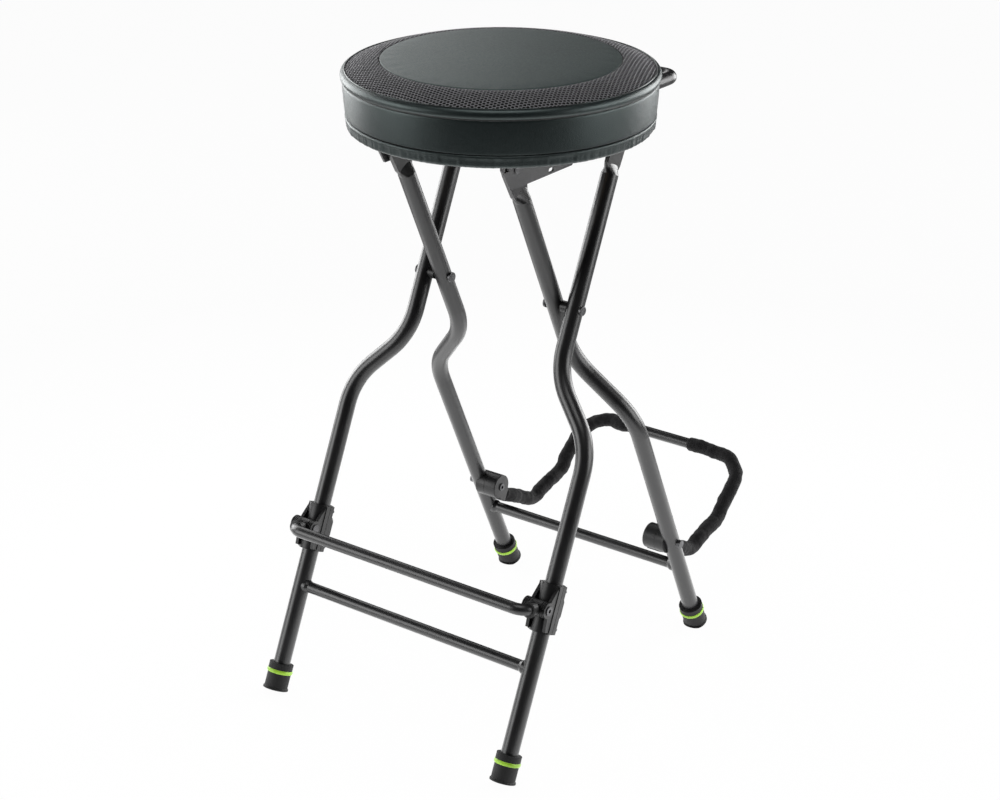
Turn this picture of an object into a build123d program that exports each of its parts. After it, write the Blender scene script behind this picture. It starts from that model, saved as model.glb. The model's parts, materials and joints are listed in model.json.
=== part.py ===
"""Folding guitar stool: padded round seat on two crossed tube frames.

Units are millimetres, +Z is up, +X is to the right seen from in front, the sitter faces -Y.
The origin lies on the floor at the centre of the stool's outline.
"""
from build123d import *
from math import cos, radians, sin, sqrt
import os

os.makedirs("parts", exist_ok=True)

# Crossed frames: lean of each frame's top to the rear, widths, and lengths down a leg from the pivot
front_lean = 24.66
back_lean = -24.80
front_foot_half = 159.0
back_top_half = 74.7
frame_gap = 6.3
back_foot_half = 137.0
front_foot_down = 497.4
front_bend_top_down = 70.9
front_bend_low_down = 136.1
back_bend_top_down = 78.3
back_bend_low_down = 153.0
bend_radius = 75.0

# Tubes
tube_d = 19.0
tube_wall = 1.5
bar_d = 12.7
bar_wall = 1.5
weld_flare = 1.6
weld_length = 3.5
front_bar_down = 375.6
back_bar_down = 398.8
flat_width = 29.0
flat_thickness = 5.0
flat_below = 30.0
flat_low_width = 24.5
crush_length = 11.0
crush_overlap = 4.0

# Fits
running_fit = 0.08
side_play = 0.3

# Rubber feet
foot_height = 30.0
foot_d = 26.4
foot_lip_d = 27.4
foot_flare_d = 28.6
foot_flare_height = 3.0
foot_floor = 5.0
foot_sink = 2.0
ring_height = 4.2
ring_depth = 1.0
ring_stand = 0.7
ring_above_foot = 19.0

# Main pivot
pivot_bolt_d = 8.0
pivot_head_d = 10.5
pivot_head_height = 1.6
pivot_nut_d = 11.5
pivot_nut_height = 2.4
saddle_depth = 2.4
spacer_d = 12.5

# Seat: radii, and heights above the board's underside
seat_above_pivot = 191.0
seat_behind_pivot = 4.35
seat_radius = 167.2
board_thickness = 12.0
board_inset = 8.6
band_bottom_up = 7.0
band_top_up = 43.0
band_taper = 4.6
band_thickness = 2.0
roll_height = 10.5
roll_bulge = 2.2
roll_depth = 5.4
mesh_width = 35.8
panel_edge_up = 63.8
crown_up = 67.0
band_belly = 0.4
mesh_belly = 1.0
cover_thickness = 1.8
skirt_drop = 6.0
skirt_inset = 2.0
skirt_thickness = 1.6
skirt_play = 0.6

# Seat carrier plate and its ears
pan_thickness = 2.5
washer_thickness = 2.0
pan_front = 25.0
pan_rear = 192.0
ear_thickness = 2.5
ear_drop = 38.5
ear_front = 26.0
ear_rear = 112.0
strip_drop = 20.0
hook_front = 134.0
hook_rear = 184.0
hook_drop = 33.0
hook_lead = 31.0
hook_mouth = 16.0
ear_bevel_up = 4.0
ear_bevel_run = 14.5
ear_slope = 16.0
window_length = 8.5
window_height = 8.0
window_ahead = 17.8
window_up = 4.8
peep_hole_length = 9.5
peep_hole_height = 4.6
peep_hole_back = 59.0
peep_hole_down = 15.5
hook_pin_play = 0.8
hinge_bolt_d = 8.0
hinge_head_d = 10.5
hinge_head_height = 1.2
hinge_washer_d = 15.0
hinge_nut_height = 5.0
hinge_below_pan = 18.5
rest_pin_d = 8.0
rest_pin_head_d = 10.5
rest_pin_head_height = 1.5
rest_pin_collar_d = 13.0
screw_d = 5.0
screw_head_d = 9.5
screw_head_height = 2.4
screw_bite = 9.0
rest_pin_stand = 1.0
pan_screw_side_inset = 11.0
pan_screw_inset = 14.0

# Handle bar behind the seat
handle_d = 15.0
handle_wall = 1.5
handle_half = 39.0
handle_rear = 281.5
handle_front = 30.0
handle_bend = 14.0
clip_width = 16.0
clip_thickness = 2.0
clip_foot = 13.0
clip_front_at = 50.0
clip_rear_at = 98.0
plug_length = 12.0
plug_head = 3.0

# Footrest
rest_hinge_ahead = 20.0
rest_hinge_down = 308.1
rest_bar_ahead = 23.5
rest_bar_up = 5.1
rest_bend = 14.0
clamp_height = 52.0
clamp_wall = 3.9
clamp_half_width = 13.4
clamp_flank = 6.5
clamp_split_gap = 0.6
lug_inner = 5.2
lug_outer = 14.6
wing_inner = 8.9
lug_d = 17.0
rib_pitch = 2.35
rib_gap = 1.1
rib_depth = 1.1
wing_outer = 12.6
wing_top_ahead = 6.0
wing_side_ahead = 15.5
wing_side_up = 9.0
wing_chin_ahead = 15.5
wing_chin_down = 9.0
wing_low_down = 24.0
knuckle_half = 5.0
knuckle_d = 16.4
collar_d = 17.2
collar_reach = 16.5
collar_start = 9.0
neck_half = 6.4
rest_bolt_d = 6.0
rest_head_d = 10.0
rest_head_height = 1.2
socket_d = 4.6
socket_depth = 2.0
pad_length = 28.0
pad_width = 15.0
pad_height = 7.5
pad_sink = 3.0
pad_edge = 2.5
clamp_screw_d = 2.2
clamp_screw_head_d = 3.8
clamp_screw_head_height = 1.4
clamp_screw_off = 11.6
clamp_screw_up = 20.5
clamp_screw_bite = 5.0
clamp_screw_room = 0.4

# Guitar yoke
yoke_hinge_down = 355.8
yoke_arm_half = 115.5
yoke_low_out = 75.8
yoke_low_down = 48.0
yoke_knee_out = 138.0
yoke_knee_down = 31.0
yoke_end_out = 197.8
yoke_end_up = 24.0
yoke_low_bend = 26.0
yoke_knee_bend = 30.0
yoke_corner_bend = 38.0
sleeve_d = 17.4
sleeve_start = 8.0
yoke_arm_bite = 3.0
yoke_root_out = 6.0
yoke_root_down = 12.0
sleeve_end_half = 36.0
boss_d = 29.5
boss_inner = 31.0
boss_split = 14.6
boss_saddle = 3.0
boss_edge = 1.2
yoke_socket_d = 16.2
yoke_socket_reach = 7.0
yoke_neck_reach = 4.8
yoke_neck_root = 6.0
yoke_bolt_d = 6.0
yoke_nut_d = 9.6
yoke_nut_height = 3.8
yoke_head_d = 9.0
yoke_head_height = 1.0

# Worked out from the sizes above
tube_r = tube_d / 2
bar_r = bar_d / 2
foot_flare_r = foot_flare_d / 2
front_top_half = back_top_half + tube_d + frame_gap
ear_inner = back_top_half + flat_thickness / 2 + side_play + washer_thickness
pan_half_width = ear_inner + ear_thickness
pan_screw_half = pan_half_width - pan_screw_side_inset
rest_pin_inner = ear_inner - rest_pin_stand
band_bottom_radius = seat_radius - band_taper
board_radius = band_bottom_radius - board_inset
mesh_edge_radius = seat_radius - roll_depth
panel_radius = mesh_edge_radius - mesh_width
pivot_height = (
    front_foot_down * cos(radians(front_lean)) + foot_flare_r * sin(radians(front_lean)) - foot_sink
)
back_foot_down = (
    pivot_height + foot_sink + foot_flare_r * sin(radians(back_lean))
) / cos(radians(back_lean))
front_reach = front_foot_down * sin(radians(front_lean)) + foot_flare_r * cos(radians(front_lean))
rear_reach = yoke_end_out + sleeve_d / 2 - yoke_hinge_down * sin(radians(back_lean))
pivot_y = (front_reach - rear_reach) / 2
pivot = Vector(0, pivot_y, pivot_height)
seat_y = pivot_y + seat_behind_pivot
board_bottom = pivot_height + seat_above_pivot
pan_bottom = board_bottom - pan_thickness
hinge_height = pan_bottom - hinge_below_pan
front_top_up = (hinge_height - pivot_height) / cos(radians(front_lean))
back_top_up = (hinge_height - pivot_height) / cos(radians(back_lean))
hinge_y = pivot_y + back_top_up * sin(radians(back_lean))
pin_y = pivot_y + front_top_up * sin(radians(front_lean))
sides = (("left", -1), ("right", 1))


def keep(piece, name):
    """Label a finished piece and write it to its own file."""
    piece.part.label = name
    export_step(piece.part, f"parts/{name}.step")


def frame_face(lean):
    """Plane that a leaning frame lies in: x across the stool, y up the legs."""
    angle = radians(lean)
    return Plane(origin=pivot, x_dir=(1, 0, 0), z_dir=(0, -cos(angle), sin(angle)))


def frame_side(lean, x):
    """Plane seen from the side at one x: local x backwards, local y up the legs."""
    angle = radians(lean)
    return Plane(origin=pivot + Vector(x, 0, 0), x_dir=(0, cos(angle), -sin(angle)), z_dir=(1, 0, 0))


def on_leg(lean, x, back, up):
    """Point of the stool given along a leg's side plane."""
    return frame_side(lean, x).from_local_coords(Vector(back, up, 0))


def along_leg(lean, x, back, up):
    """Plane square to a leg, with its origin at a point of the leg's side plane."""
    return Plane(on_leg(lean, x, back, up), x_dir=(1, 0, 0), z_dir=frame_side(lean, x).y_dir)


def across_at(x, y, z, direction=1):
    """Plane facing sideways at a point, its local x to the rear when direction is 1."""
    return Plane(origin=(x, y, z), x_dir=(0, direction, 0), z_dir=(direction, 0, 0))


def round_plate(piece_plane, outer, inner, height):
    """Flat ring or disc standing on a plane; inner 0 gives a disc."""
    with BuildSketch(piece_plane, mode=Mode.PRIVATE) as disc:
        Circle(outer)
        if inner:
            Circle(inner, mode=Mode.SUBTRACT)
    extrude(disc.sketch, amount=height)


def cut_tube(lean, x, up):
    """Cut the room of a leg's tube out of a piece that saddles it."""
    with BuildSketch(along_leg(lean, x, 0, up), mode=Mode.PRIVATE) as disc:
        Circle(tube_r)
    extrude(disc.sketch, amount=foot_height, both=True, mode=Mode.SUBTRACT)


def make_leg(sign, lean, top_half, foot_half, bend_top, bend_low, foot_down, top_up, cross_holes):
    """S-bent tube whose top is pressed flat round a cross hole."""
    flat_base = top_up - flat_below
    crush_start = flat_base - crush_length
    shoulder = crush_start + crush_overlap
    side = frame_side(lean, sign * top_half)
    with BuildPart() as leg:
        with BuildLine(frame_face(lean)) as path:
            FilletPolyline(
                (sign * foot_half, foot_floor - foot_down),
                (sign * foot_half, -bend_low),
                (sign * top_half, -bend_top),
                (sign * top_half, crush_start),
                radius=bend_radius,
            )
        with BuildSketch(Plane(path.line @ 0, z_dir=path.line % 0)):
            Circle(tube_r)
            Circle(tube_r - tube_wall, mode=Mode.SUBTRACT)
        sweep(path=path.line)
        crush_base = along_leg(lean, sign * top_half, 0, crush_start)
        with BuildSketch(crush_base):
            Circle(tube_r)
        with BuildSketch(crush_base.offset(crush_length)):
            Ellipse(flat_thickness / 2, flat_low_width / 2)
        loft()
        with BuildSketch(side):
            with BuildLine():
                Polyline(
                    (-flat_width / 2, top_up),
                    (-flat_low_width / 2, flat_base),
                    (-tube_r, shoulder),
                    (tube_r, shoulder),
                    (flat_low_width / 2, flat_base),
                    (flat_width / 2, top_up),
                )
                ThreePointArc(
                    (flat_width / 2, top_up),
                    (0, top_up + flat_width / 2),
                    (-flat_width / 2, top_up),
                )
            make_face()
        extrude(amount=flat_thickness / 2, both=True)
        for x, back, up, hole_d in cross_holes:
            with BuildSketch(frame_side(lean, x)):
                with Locations((back, up)):
                    Circle(hole_d / 2)
            extrude(amount=tube_d, both=True, mode=Mode.SUBTRACT)
    return leg


def make_cross_bar(lean, down, foot_half):
    """Round bar between two legs, flared by its welds and coped to the tubes."""
    centre = on_leg(lean, 0, 0, -down)
    with BuildPart() as bar:
        with BuildSketch(across_at(-foot_half, centre.Y, centre.Z)):
            Circle(bar_r)
            Circle(bar_r - bar_wall, mode=Mode.SUBTRACT)
        extrude(amount=foot_half * 2)
        for sign in (-1, 1):
            weld = across_at(sign * foot_half, centre.Y, centre.Z, -sign)
            with BuildSketch(weld):
                Circle(bar_r + weld_flare)
                Circle(bar_r - bar_wall, mode=Mode.SUBTRACT)
            extrude(amount=tube_r)
            with BuildSketch(weld.offset(tube_r)):
                Circle(bar_r + weld_flare)
                Circle(bar_r - bar_wall, mode=Mode.SUBTRACT)
            with BuildSketch(weld.offset(tube_r + weld_length)):
                Circle(bar_r)
                Circle(bar_r - bar_wall, mode=Mode.SUBTRACT)
            loft()
            with BuildSketch(along_leg(lean, sign * foot_half, 0, -down)):
                Circle(tube_r)
                Rectangle(tube_d, tube_d, align=(Align.MIN if sign > 0 else Align.MAX, Align.CENTER))
            extrude(amount=foot_height, both=True, mode=Mode.SUBTRACT)
    return bar


def foot_side(lean, x, foot_down):
    """Side plane with its origin where the leg's axis meets the rubber cap's end."""
    plane = frame_side(lean, x)
    return Plane(on_leg(lean, x, 0, -foot_down), x_dir=plane.x_dir, z_dir=plane.z_dir)


def make_foot(lean, x, foot_down):
    """Rubber cap pressed over the tube's end, cut flat where it stands."""
    at = foot_side(lean, x, foot_down)
    groove_r = foot_d / 2 - ring_depth
    groove_top = ring_above_foot + ring_height
    with BuildPart() as foot:
        with BuildSketch(at):
            with BuildLine():
                Polyline(
                    (0, 0),
                    (foot_flare_r, 0),
                    (foot_flare_r, foot_flare_height / 2),
                    (foot_d / 2, foot_flare_height),
                    (foot_d / 2, ring_above_foot),
                    (groove_r, ring_above_foot),
                    (groove_r, groove_top),
                    (foot_d / 2, groove_top),
                    (foot_lip_d / 2, groove_top),
                    (foot_lip_d / 2, foot_height),
                    (tube_r, foot_height),
                    (tube_r, foot_floor),
                    (0, foot_floor),
                    close=True,
                )
            make_face()
        revolve(axis=Axis(at.origin, at.y_dir))
        with BuildSketch(Plane.XY):
            with Locations((x, at.origin.Y)):
                Circle(foot_flare_d)
        extrude(amount=-foot_flare_d, mode=Mode.SUBTRACT)
    return foot


def make_foot_ring(lean, x, foot_down):
    """Coloured band that sits in the rubber foot's groove."""
    at = foot_side(lean, x, foot_down)
    inner = foot_d / 2 - ring_depth
    outer = foot_d / 2 + ring_stand
    groove_top = ring_above_foot + ring_height
    with BuildPart() as ring:
        with BuildSketch(at):
            with BuildLine():
                Polyline(
                    (outer, groove_top),
                    (inner, groove_top),
                    (inner, ring_above_foot),
                    (outer, ring_above_foot),
                )
                ThreePointArc(
                    (outer, ring_above_foot),
                    (outer + ring_stand, (ring_above_foot + groove_top) / 2),
                    (outer, groove_top),
                )
            make_face()
        revolve(axis=Axis(at.origin, at.y_dir))
    return ring


def make_pivot_bolts():
    """Low-headed bolts through both tubes of each crossing, fixed in the wider frame."""
    head_top = front_top_half + tube_r + pivot_head_height
    shank_end = back_top_half - tube_r - side_play - pivot_nut_height
    with BuildPart() as bolts:
        for sign in (-1, 1):
            round_plate(
                across_at(sign * head_top, pivot_y, pivot_height, -sign),
                pivot_head_d / 2, 0, pivot_head_height + saddle_depth,
            )
            outer_face = bolts.faces().sort_by(Axis.X)[-1 if sign > 0 else 0]
            fillet(outer_face.edges(), pivot_head_height / 2)
            cut_tube(front_lean, sign * front_top_half, 0)
            round_plate(
                across_at(sign * shank_end, pivot_y, pivot_height, sign),
                pivot_bolt_d / 2, 0, front_top_half + tube_r - shank_end,
            )
    return bolts


def make_pivot_nuts():
    """Thin round nuts on the inner ends of the main pivot bolts."""
    nut_end = back_top_half - tube_r - side_play
    with BuildPart() as nuts:
        for sign in (-1, 1):
            round_plate(
                across_at(sign * nut_end, pivot_y, pivot_height, -sign),
                pivot_nut_d / 2, pivot_bolt_d / 2, pivot_nut_height,
            )
    return nuts


def make_pivot_spacers():
    """Plastic spacers between crossing tubes, saddled to the wider frame's tubes."""
    near = back_top_half + tube_r + side_play
    with BuildPart() as spacers:
        for sign in (-1, 1):
            round_plate(
                across_at(sign * near, pivot_y, pivot_height, sign),
                spacer_d / 2, pivot_bolt_d / 2, front_top_half - near,
            )
            cut_tube(front_lean, sign * front_top_half, 0)
    return spacers


def make_front_frame():
    """Wider frame: legs, bar, feet and the pins that the seat hooks over."""
    for side, sign in sides:
        x = sign * front_foot_half
        leg = make_leg(
            sign, front_lean, front_top_half, front_foot_half, front_bend_top_down, front_bend_low_down,
            front_foot_down, front_top_up,
            (
                (sign * front_top_half, 0, 0, pivot_bolt_d),
                (sign * front_top_half, 0, front_top_up, rest_pin_d),
            ),
        )
        keep(leg, f"front_leg_{side}")
        keep(make_foot(front_lean, x, front_foot_down), f"front_foot_{side}")
        keep(make_foot_ring(front_lean, x, front_foot_down), f"front_foot_ring_{side}")
    keep(make_cross_bar(front_lean, front_bar_down, front_foot_half), "front_cross_bar")
    keep(make_pivot_bolts(), "main_pivot_bolts")
    keep(make_pivot_nuts(), "main_pivot_nuts")
    keep(make_pivot_spacers(), "main_pivot_spacers")


def make_back_frame():
    """Narrower frame: legs, bar and feet."""
    for side, sign in sides:
        x = sign * back_foot_half
        leg = make_leg(
            sign, back_lean, back_top_half, back_foot_half, back_bend_top_down, back_bend_low_down,
            back_foot_down, back_top_up,
            (
                (sign * back_top_half, 0, 0, pivot_bolt_d + running_fit * 2),
                (sign * back_top_half, 0, back_top_up, hinge_bolt_d + running_fit * 2),
                (sign * back_foot_half, 0, -yoke_hinge_down, yoke_bolt_d),
            ),
        )
        keep(leg, f"back_leg_{side}")
        keep(make_foot(back_lean, x, back_foot_down), f"back_foot_{side}")
        keep(make_foot_ring(back_lean, x, back_foot_down), f"back_foot_ring_{side}")
    keep(make_cross_bar(back_lean, back_bar_down, back_foot_half), "back_cross_bar")


def seat_section():
    """Vertical half-plane of the seat: local x outwards, local y up from the board's underside."""
    return Plane(origin=(0, seat_y, board_bottom), x_dir=(1, 0, 0), z_dir=(0, -1, 0))


def spin_seat():
    """Turn the pending seat section once round the seat's own axis."""
    revolve(axis=Axis((0, seat_y, board_bottom), (0, 0, 1)))


board_edge = (board_radius, 0)
wrap_r = band_bottom_radius - skirt_inset - skirt_thickness
band_low = (band_bottom_radius, band_bottom_up)
band_low_in = (band_bottom_radius - band_thickness, band_bottom_up)
band_high = (seat_radius - roll_bulge, band_top_up)
band_high_in = (seat_radius - roll_bulge - band_thickness, band_top_up)
band_middle = (seat_radius - roll_bulge - band_belly, (band_bottom_up + band_top_up) / 2)
band_middle_in = (band_middle[0] - band_thickness, band_middle[1])
roll_top_up = band_top_up + roll_height
roll_high = (mesh_edge_radius, roll_top_up)
roll_high_in = (mesh_edge_radius - cover_thickness, roll_top_up - cover_thickness)
roll_middle = (seat_radius, band_top_up + roll_height / 2)
roll_middle_in = (seat_radius - cover_thickness, roll_middle[1])
mesh_high = (panel_radius, panel_edge_up)
mesh_high_in = (panel_radius, panel_edge_up - cover_thickness)
mesh_middle = ((mesh_edge_radius + panel_radius) / 2, (roll_top_up + panel_edge_up) / 2 + mesh_belly)
mesh_middle_in = (mesh_middle[0], mesh_middle[1] - cover_thickness)
panel_rise = crown_up - panel_edge_up
panel_curve = (panel_radius ** 2 + panel_rise ** 2) / (panel_rise * 2)
panel_middle = (panel_radius / 2, crown_up - panel_curve + sqrt(panel_curve ** 2 - panel_radius ** 2 / 4))
panel_middle_in = (panel_middle[0], panel_middle[1] - cover_thickness)
crown = (0, crown_up)
crown_in = (0, crown_up - cover_thickness)


def make_skin(low, middle, high, high_in, middle_in, low_in):
    """Ring of cover cut from the seat's section between an outer and an inner arc."""
    with BuildPart() as skin:
        with BuildSketch(seat_section()):
            with BuildLine():
                ThreePointArc(low, middle, high)
                Line(high, high_in)
                ThreePointArc(high_in, middle_in, low_in)
                Line(low_in, low)
            make_face()
        spin_seat()
    return skin


def make_seat_board():
    """Round plywood board with blind holes for the screws of the carrier plate."""
    with BuildPart() as board:
        round_plate(Plane((0, seat_y, board_bottom)), board_radius, 0, board_thickness)
        with BuildSketch(Plane(pan_centre)):
            with GridLocations(pan_screw_half * 2, pan_length - pan_screw_inset * 2, 2, 2):
                Circle(screw_d / 2)
        extrude(amount=pan_thickness + screw_bite, mode=Mode.SUBTRACT)
    return board


def make_seat_foam():
    """Crowned cushion block under the cover, wrapped down round the board's edge."""
    with BuildPart() as foam:
        with BuildSketch(seat_section()):
            with BuildLine():
                Line((0, board_thickness), (board_radius, board_thickness))
                Line((board_radius, board_thickness), board_edge)
                Line(board_edge, (wrap_r, 0))
                Line((wrap_r, 0), (wrap_r, band_bottom_up))
                Line((wrap_r, band_bottom_up), band_low_in)
                ThreePointArc(band_low_in, band_middle_in, band_high_in)
                ThreePointArc(band_high_in, roll_middle_in, roll_high_in)
                ThreePointArc(roll_high_in, mesh_middle_in, mesh_high_in)
                ThreePointArc(mesh_high_in, panel_middle_in, crown_in)
                Line(crown_in, (0, board_thickness))
            make_face()
        spin_seat()
    return foam


def make_centre_panel():
    """Round top panel of the cover, slightly crowned."""
    with BuildPart() as panel:
        with BuildSketch(seat_section()):
            with BuildLine():
                ThreePointArc(mesh_high, panel_middle, crown)
                Line(crown, crown_in)
                ThreePointArc(crown_in, panel_middle_in, mesh_high_in)
                Line(mesh_high_in, mesh_high)
            make_face()
        spin_seat()
    return panel


def make_cover_skirt():
    """Gathered lower hem of the cover, tucked in under the side band."""
    skirt_r = wrap_r + skirt_thickness
    with BuildPart() as skirt:
        with BuildSketch(seat_section()):
            with BuildLine():
                Polyline(
                    (wrap_r, -skirt_drop),
                    (skirt_r, -skirt_drop),
                    (skirt_r, band_bottom_up),
                    (wrap_r, band_bottom_up),
                    close=True,
                )
            make_face()
        spin_seat()
        for x in (-handle_half, handle_half):
            with BuildSketch(Plane((x, seat_y, handle_height), x_dir=(1, 0, 0), z_dir=(0, 1, 0))):
                Circle(handle_d / 2 + skirt_play)
            extrude(amount=seat_radius, mode=Mode.SUBTRACT)
    return skirt


pan_length = pan_front + pan_rear
pan_centre = (0, hinge_y + (pan_rear - pan_front) / 2, pan_bottom)


def ear_outline():
    """Side outline of one ear, measured from the seat hinge."""
    top = hinge_below_pan + pan_thickness / 2
    low = hinge_below_pan - ear_drop
    step = hinge_below_pan - strip_drop
    Polyline(
        (-ear_front, top),
        (-ear_front, ear_bevel_up),
        (ear_bevel_run - ear_front, low),
        (ear_rear - ear_slope, low),
        (ear_rear, step),
        (hook_front, step),
        (hook_front, hinge_below_pan - hook_drop),
        (hook_rear, hinge_below_pan - hook_drop),
        (hook_rear, top),
        close=True,
    )


def hook_notch():
    """Notch of the hook ear: a round seat for the pin, open down and forward."""
    reach = hook_drop / cos(radians(hook_lead))
    slot_r = rest_pin_d / 2 + hook_pin_play
    pin_back = pin_y - hinge_y
    along = Vector(-sin(radians(hook_lead)), -cos(radians(hook_lead)))
    aside = Vector(cos(radians(hook_lead)), -sin(radians(hook_lead)))
    seat_point = Vector(pin_back, 0)
    far = seat_point + along * reach
    Polyline(
        seat_point + aside * slot_r,
        far + aside * slot_r,
        far - aside * hook_mouth,
        seat_point - aside * slot_r,
        close=True,
    )


def make_seat_pan():
    """Bent steel carrier plate: flat top, two hinge ears and two hooks for the rest pins."""
    pin_back = pin_y - hinge_y
    with BuildPart() as pan:
        with BuildSketch(Plane(pan_centre)):
            Rectangle(pan_half_width * 2, pan_length)
            with GridLocations(pan_screw_half * 2, pan_length - pan_screw_inset * 2, 2, 2):
                Circle(screw_d / 2, mode=Mode.SUBTRACT)
            for at in (clip_front_at, clip_rear_at):
                with Locations((0, pivot_y + at - pan_centre[1])):
                    with GridLocations(clip_screw_half * 2, pan_length, 2, 1):
                        Circle(screw_d / 2, mode=Mode.SUBTRACT)
        extrude(amount=pan_thickness)
        for x in (ear_inner, -pan_half_width):
            with BuildSketch(across_at(x, hinge_y, hinge_height)):
                with BuildLine():
                    ear_outline()
                make_face()
                Circle(hinge_bolt_d / 2, mode=Mode.SUBTRACT)
                with Locations((-window_ahead, window_up)):
                    Rectangle(window_length, window_height, mode=Mode.SUBTRACT)
                with Locations((peep_hole_back, -peep_hole_down)):
                    SlotOverall(peep_hole_length, peep_hole_height, mode=Mode.SUBTRACT)
                with Locations((pin_back, 0)):
                    Circle(rest_pin_d / 2 + running_fit, mode=Mode.SUBTRACT)
                with BuildLine():
                    hook_notch()
                make_face(mode=Mode.SUBTRACT)
            extrude(amount=ear_thickness)
    return pan


def make_pan_screws():
    """Four dome-headed screws that hold the carrier plate to the board."""
    with BuildPart() as screws:
        with BuildSketch(Plane(pan_centre)):
            with GridLocations(pan_screw_half * 2, pan_length - pan_screw_inset * 2, 2, 2):
                Circle(screw_d / 2)
        extrude(amount=pan_thickness + screw_bite)
        with BuildSketch(Plane(pan_centre)):
            with GridLocations(pan_screw_half * 2, pan_length - pan_screw_inset * 2, 2, 2):
                Circle(screw_head_d / 2)
        extrude(amount=-screw_head_height)
        fillet(screws.faces().sort_by(Axis.Z)[:4].edges(), screw_head_height / 2)
    return screws


def make_seat_hinge_bolts():
    """Bolts through the plate's ears that the narrower frame's tops turn on."""
    inner_end = back_top_half - flat_thickness / 2 - side_play - hinge_nut_height
    with BuildPart() as bolts:
        for sign in (-1, 1):
            round_plate(
                across_at(sign * inner_end, hinge_y, hinge_height, sign),
                hinge_bolt_d / 2, 0, pan_half_width - inner_end,
            )
            round_plate(
                across_at(sign * pan_half_width, hinge_y, hinge_height, sign),
                hinge_head_d / 2, 0, hinge_head_height,
            )
            fillet(bolts.faces().sort_by(Axis.X)[-1 if sign > 0 else 0].edges(), hinge_head_height / 2)
    return bolts


def make_seat_hinge_nuts():
    """Hexagon nuts on the inner ends of the seat hinge bolts."""
    start = back_top_half - flat_thickness / 2 - side_play
    with BuildPart() as nuts:
        for sign in (-1, 1):
            with BuildSketch(across_at(sign * start, hinge_y, hinge_height, -sign)):
                RegularPolygon(hinge_washer_d / 2, 6)
                Circle(hinge_bolt_d / 2, mode=Mode.SUBTRACT)
            extrude(amount=hinge_nut_height)
    return nuts


def make_seat_hinge_washers():
    """Washers between the plate's ears and the flattened tops."""
    start = back_top_half + flat_thickness / 2 + side_play
    with BuildPart() as washers:
        for sign in (-1, 1):
            round_plate(
                across_at(sign * start, hinge_y, hinge_height, sign),
                hinge_washer_d / 2, hinge_bolt_d / 2, ear_inner - start,
            )
    return washers


def make_seat_rest_pins():
    """Headed pins through the wider frame's tops that the seat hooks drop over."""
    head_seat = front_top_half + flat_thickness / 2
    with BuildPart() as pins:
        for sign in (-1, 1):
            round_plate(
                across_at(sign * rest_pin_inner, pin_y, hinge_height, sign),
                rest_pin_d / 2, 0, head_seat - rest_pin_inner,
            )
            round_plate(
                across_at(sign * head_seat, pin_y, hinge_height, sign),
                rest_pin_head_d / 2, 0, rest_pin_head_height,
            )
            fillet(pins.faces().sort_by(Axis.X)[-1 if sign > 0 else 0].edges(), rest_pin_head_height / 2)
            round_plate(
                across_at(sign * (front_top_half - flat_thickness / 2), pin_y, hinge_height, -sign),
                rest_pin_collar_d / 2, 0, rest_pin_head_height,
            )
    return pins


handle_height = pan_bottom - handle_d / 2
clip_screw_half = handle_half + handle_d / 2 + clip_thickness + clip_foot / 2


def make_handle_bar():
    """U-shaped tube under the seat that reaches out behind it."""
    level = Plane((0, pivot_y, handle_height))
    with BuildPart() as handle:
        with BuildLine(level) as path:
            FilletPolyline(
                (-handle_half, handle_front),
                (-handle_half, handle_rear),
                (handle_half, handle_rear),
                (handle_half, handle_front),
                radius=handle_bend,
            )
        with BuildSketch(Plane(path.line @ 0, z_dir=path.line % 0)):
            Circle(handle_d / 2)
            Circle(handle_d / 2 - handle_wall, mode=Mode.SUBTRACT)
        sweep(path=path.line)
    return handle


def make_handle_plugs():
    """Plastic plugs in the two open ends of the U-shaped tube."""
    with BuildPart() as plugs:
        for sign in (-1, 1):
            mouth = (sign * handle_half, pivot_y + handle_front, handle_height)
            end = Plane(mouth, x_dir=(1, 0, 0), z_dir=(0, 1, 0))
            round_plate(end, handle_d / 2 - handle_wall, 0, plug_length)
            round_plate(end, handle_d / 2, 0, -plug_head)
    return plugs


def make_handle_clip(at):
    """Strap that holds both legs of the U-shaped tube up against the carrier plate."""
    bar = handle_d / 2
    hump = bar + clip_thickness
    reach = clip_screw_half + clip_foot / 2
    across = Plane(origin=(0, pivot_y + at, pan_bottom), x_dir=(1, 0, 0), z_dir=(0, -1, 0))
    with BuildPart() as clip:
        with BuildSketch(across):
            with Locations((0, -clip_thickness / 2)):
                Rectangle(reach * 2, clip_thickness)
            for x in (-handle_half, handle_half):
                with Locations((x, -bar)):
                    Circle(hump)
                with Locations((x, -bar / 2)):
                    Rectangle(hump * 2, bar)
            for x in (-handle_half, handle_half):
                with Locations((x, -bar)):
                    Circle(bar, mode=Mode.SUBTRACT)
                with Locations((x, -bar / 2)):
                    Rectangle(bar * 2, bar, mode=Mode.SUBTRACT)
            Rectangle(reach * 2, hump * 2, align=(Align.CENTER, Align.MIN), mode=Mode.SUBTRACT)
        extrude(amount=clip_width / 2, both=True)
        with BuildSketch(Plane((0, pivot_y + at, pan_bottom))):
            with Locations((-clip_screw_half, 0), (clip_screw_half, 0)):
                Circle(screw_d / 2)
        extrude(amount=-clip_thickness, mode=Mode.SUBTRACT)
    return clip


def make_clip_screws():
    """Dome-headed screws that fix the straps to the carrier plate."""
    with BuildPart() as screws:
        for at in (clip_front_at, clip_rear_at):
            for x in (-clip_screw_half, clip_screw_half):
                top = Plane((x, pivot_y + at, board_bottom))
                round_plate(top, screw_d / 2, 0, -pan_thickness - clip_thickness)
                below = top.offset(-pan_thickness - clip_thickness)
                round_plate(below, screw_head_d / 2, 0, -screw_head_height)
    return screws


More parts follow.
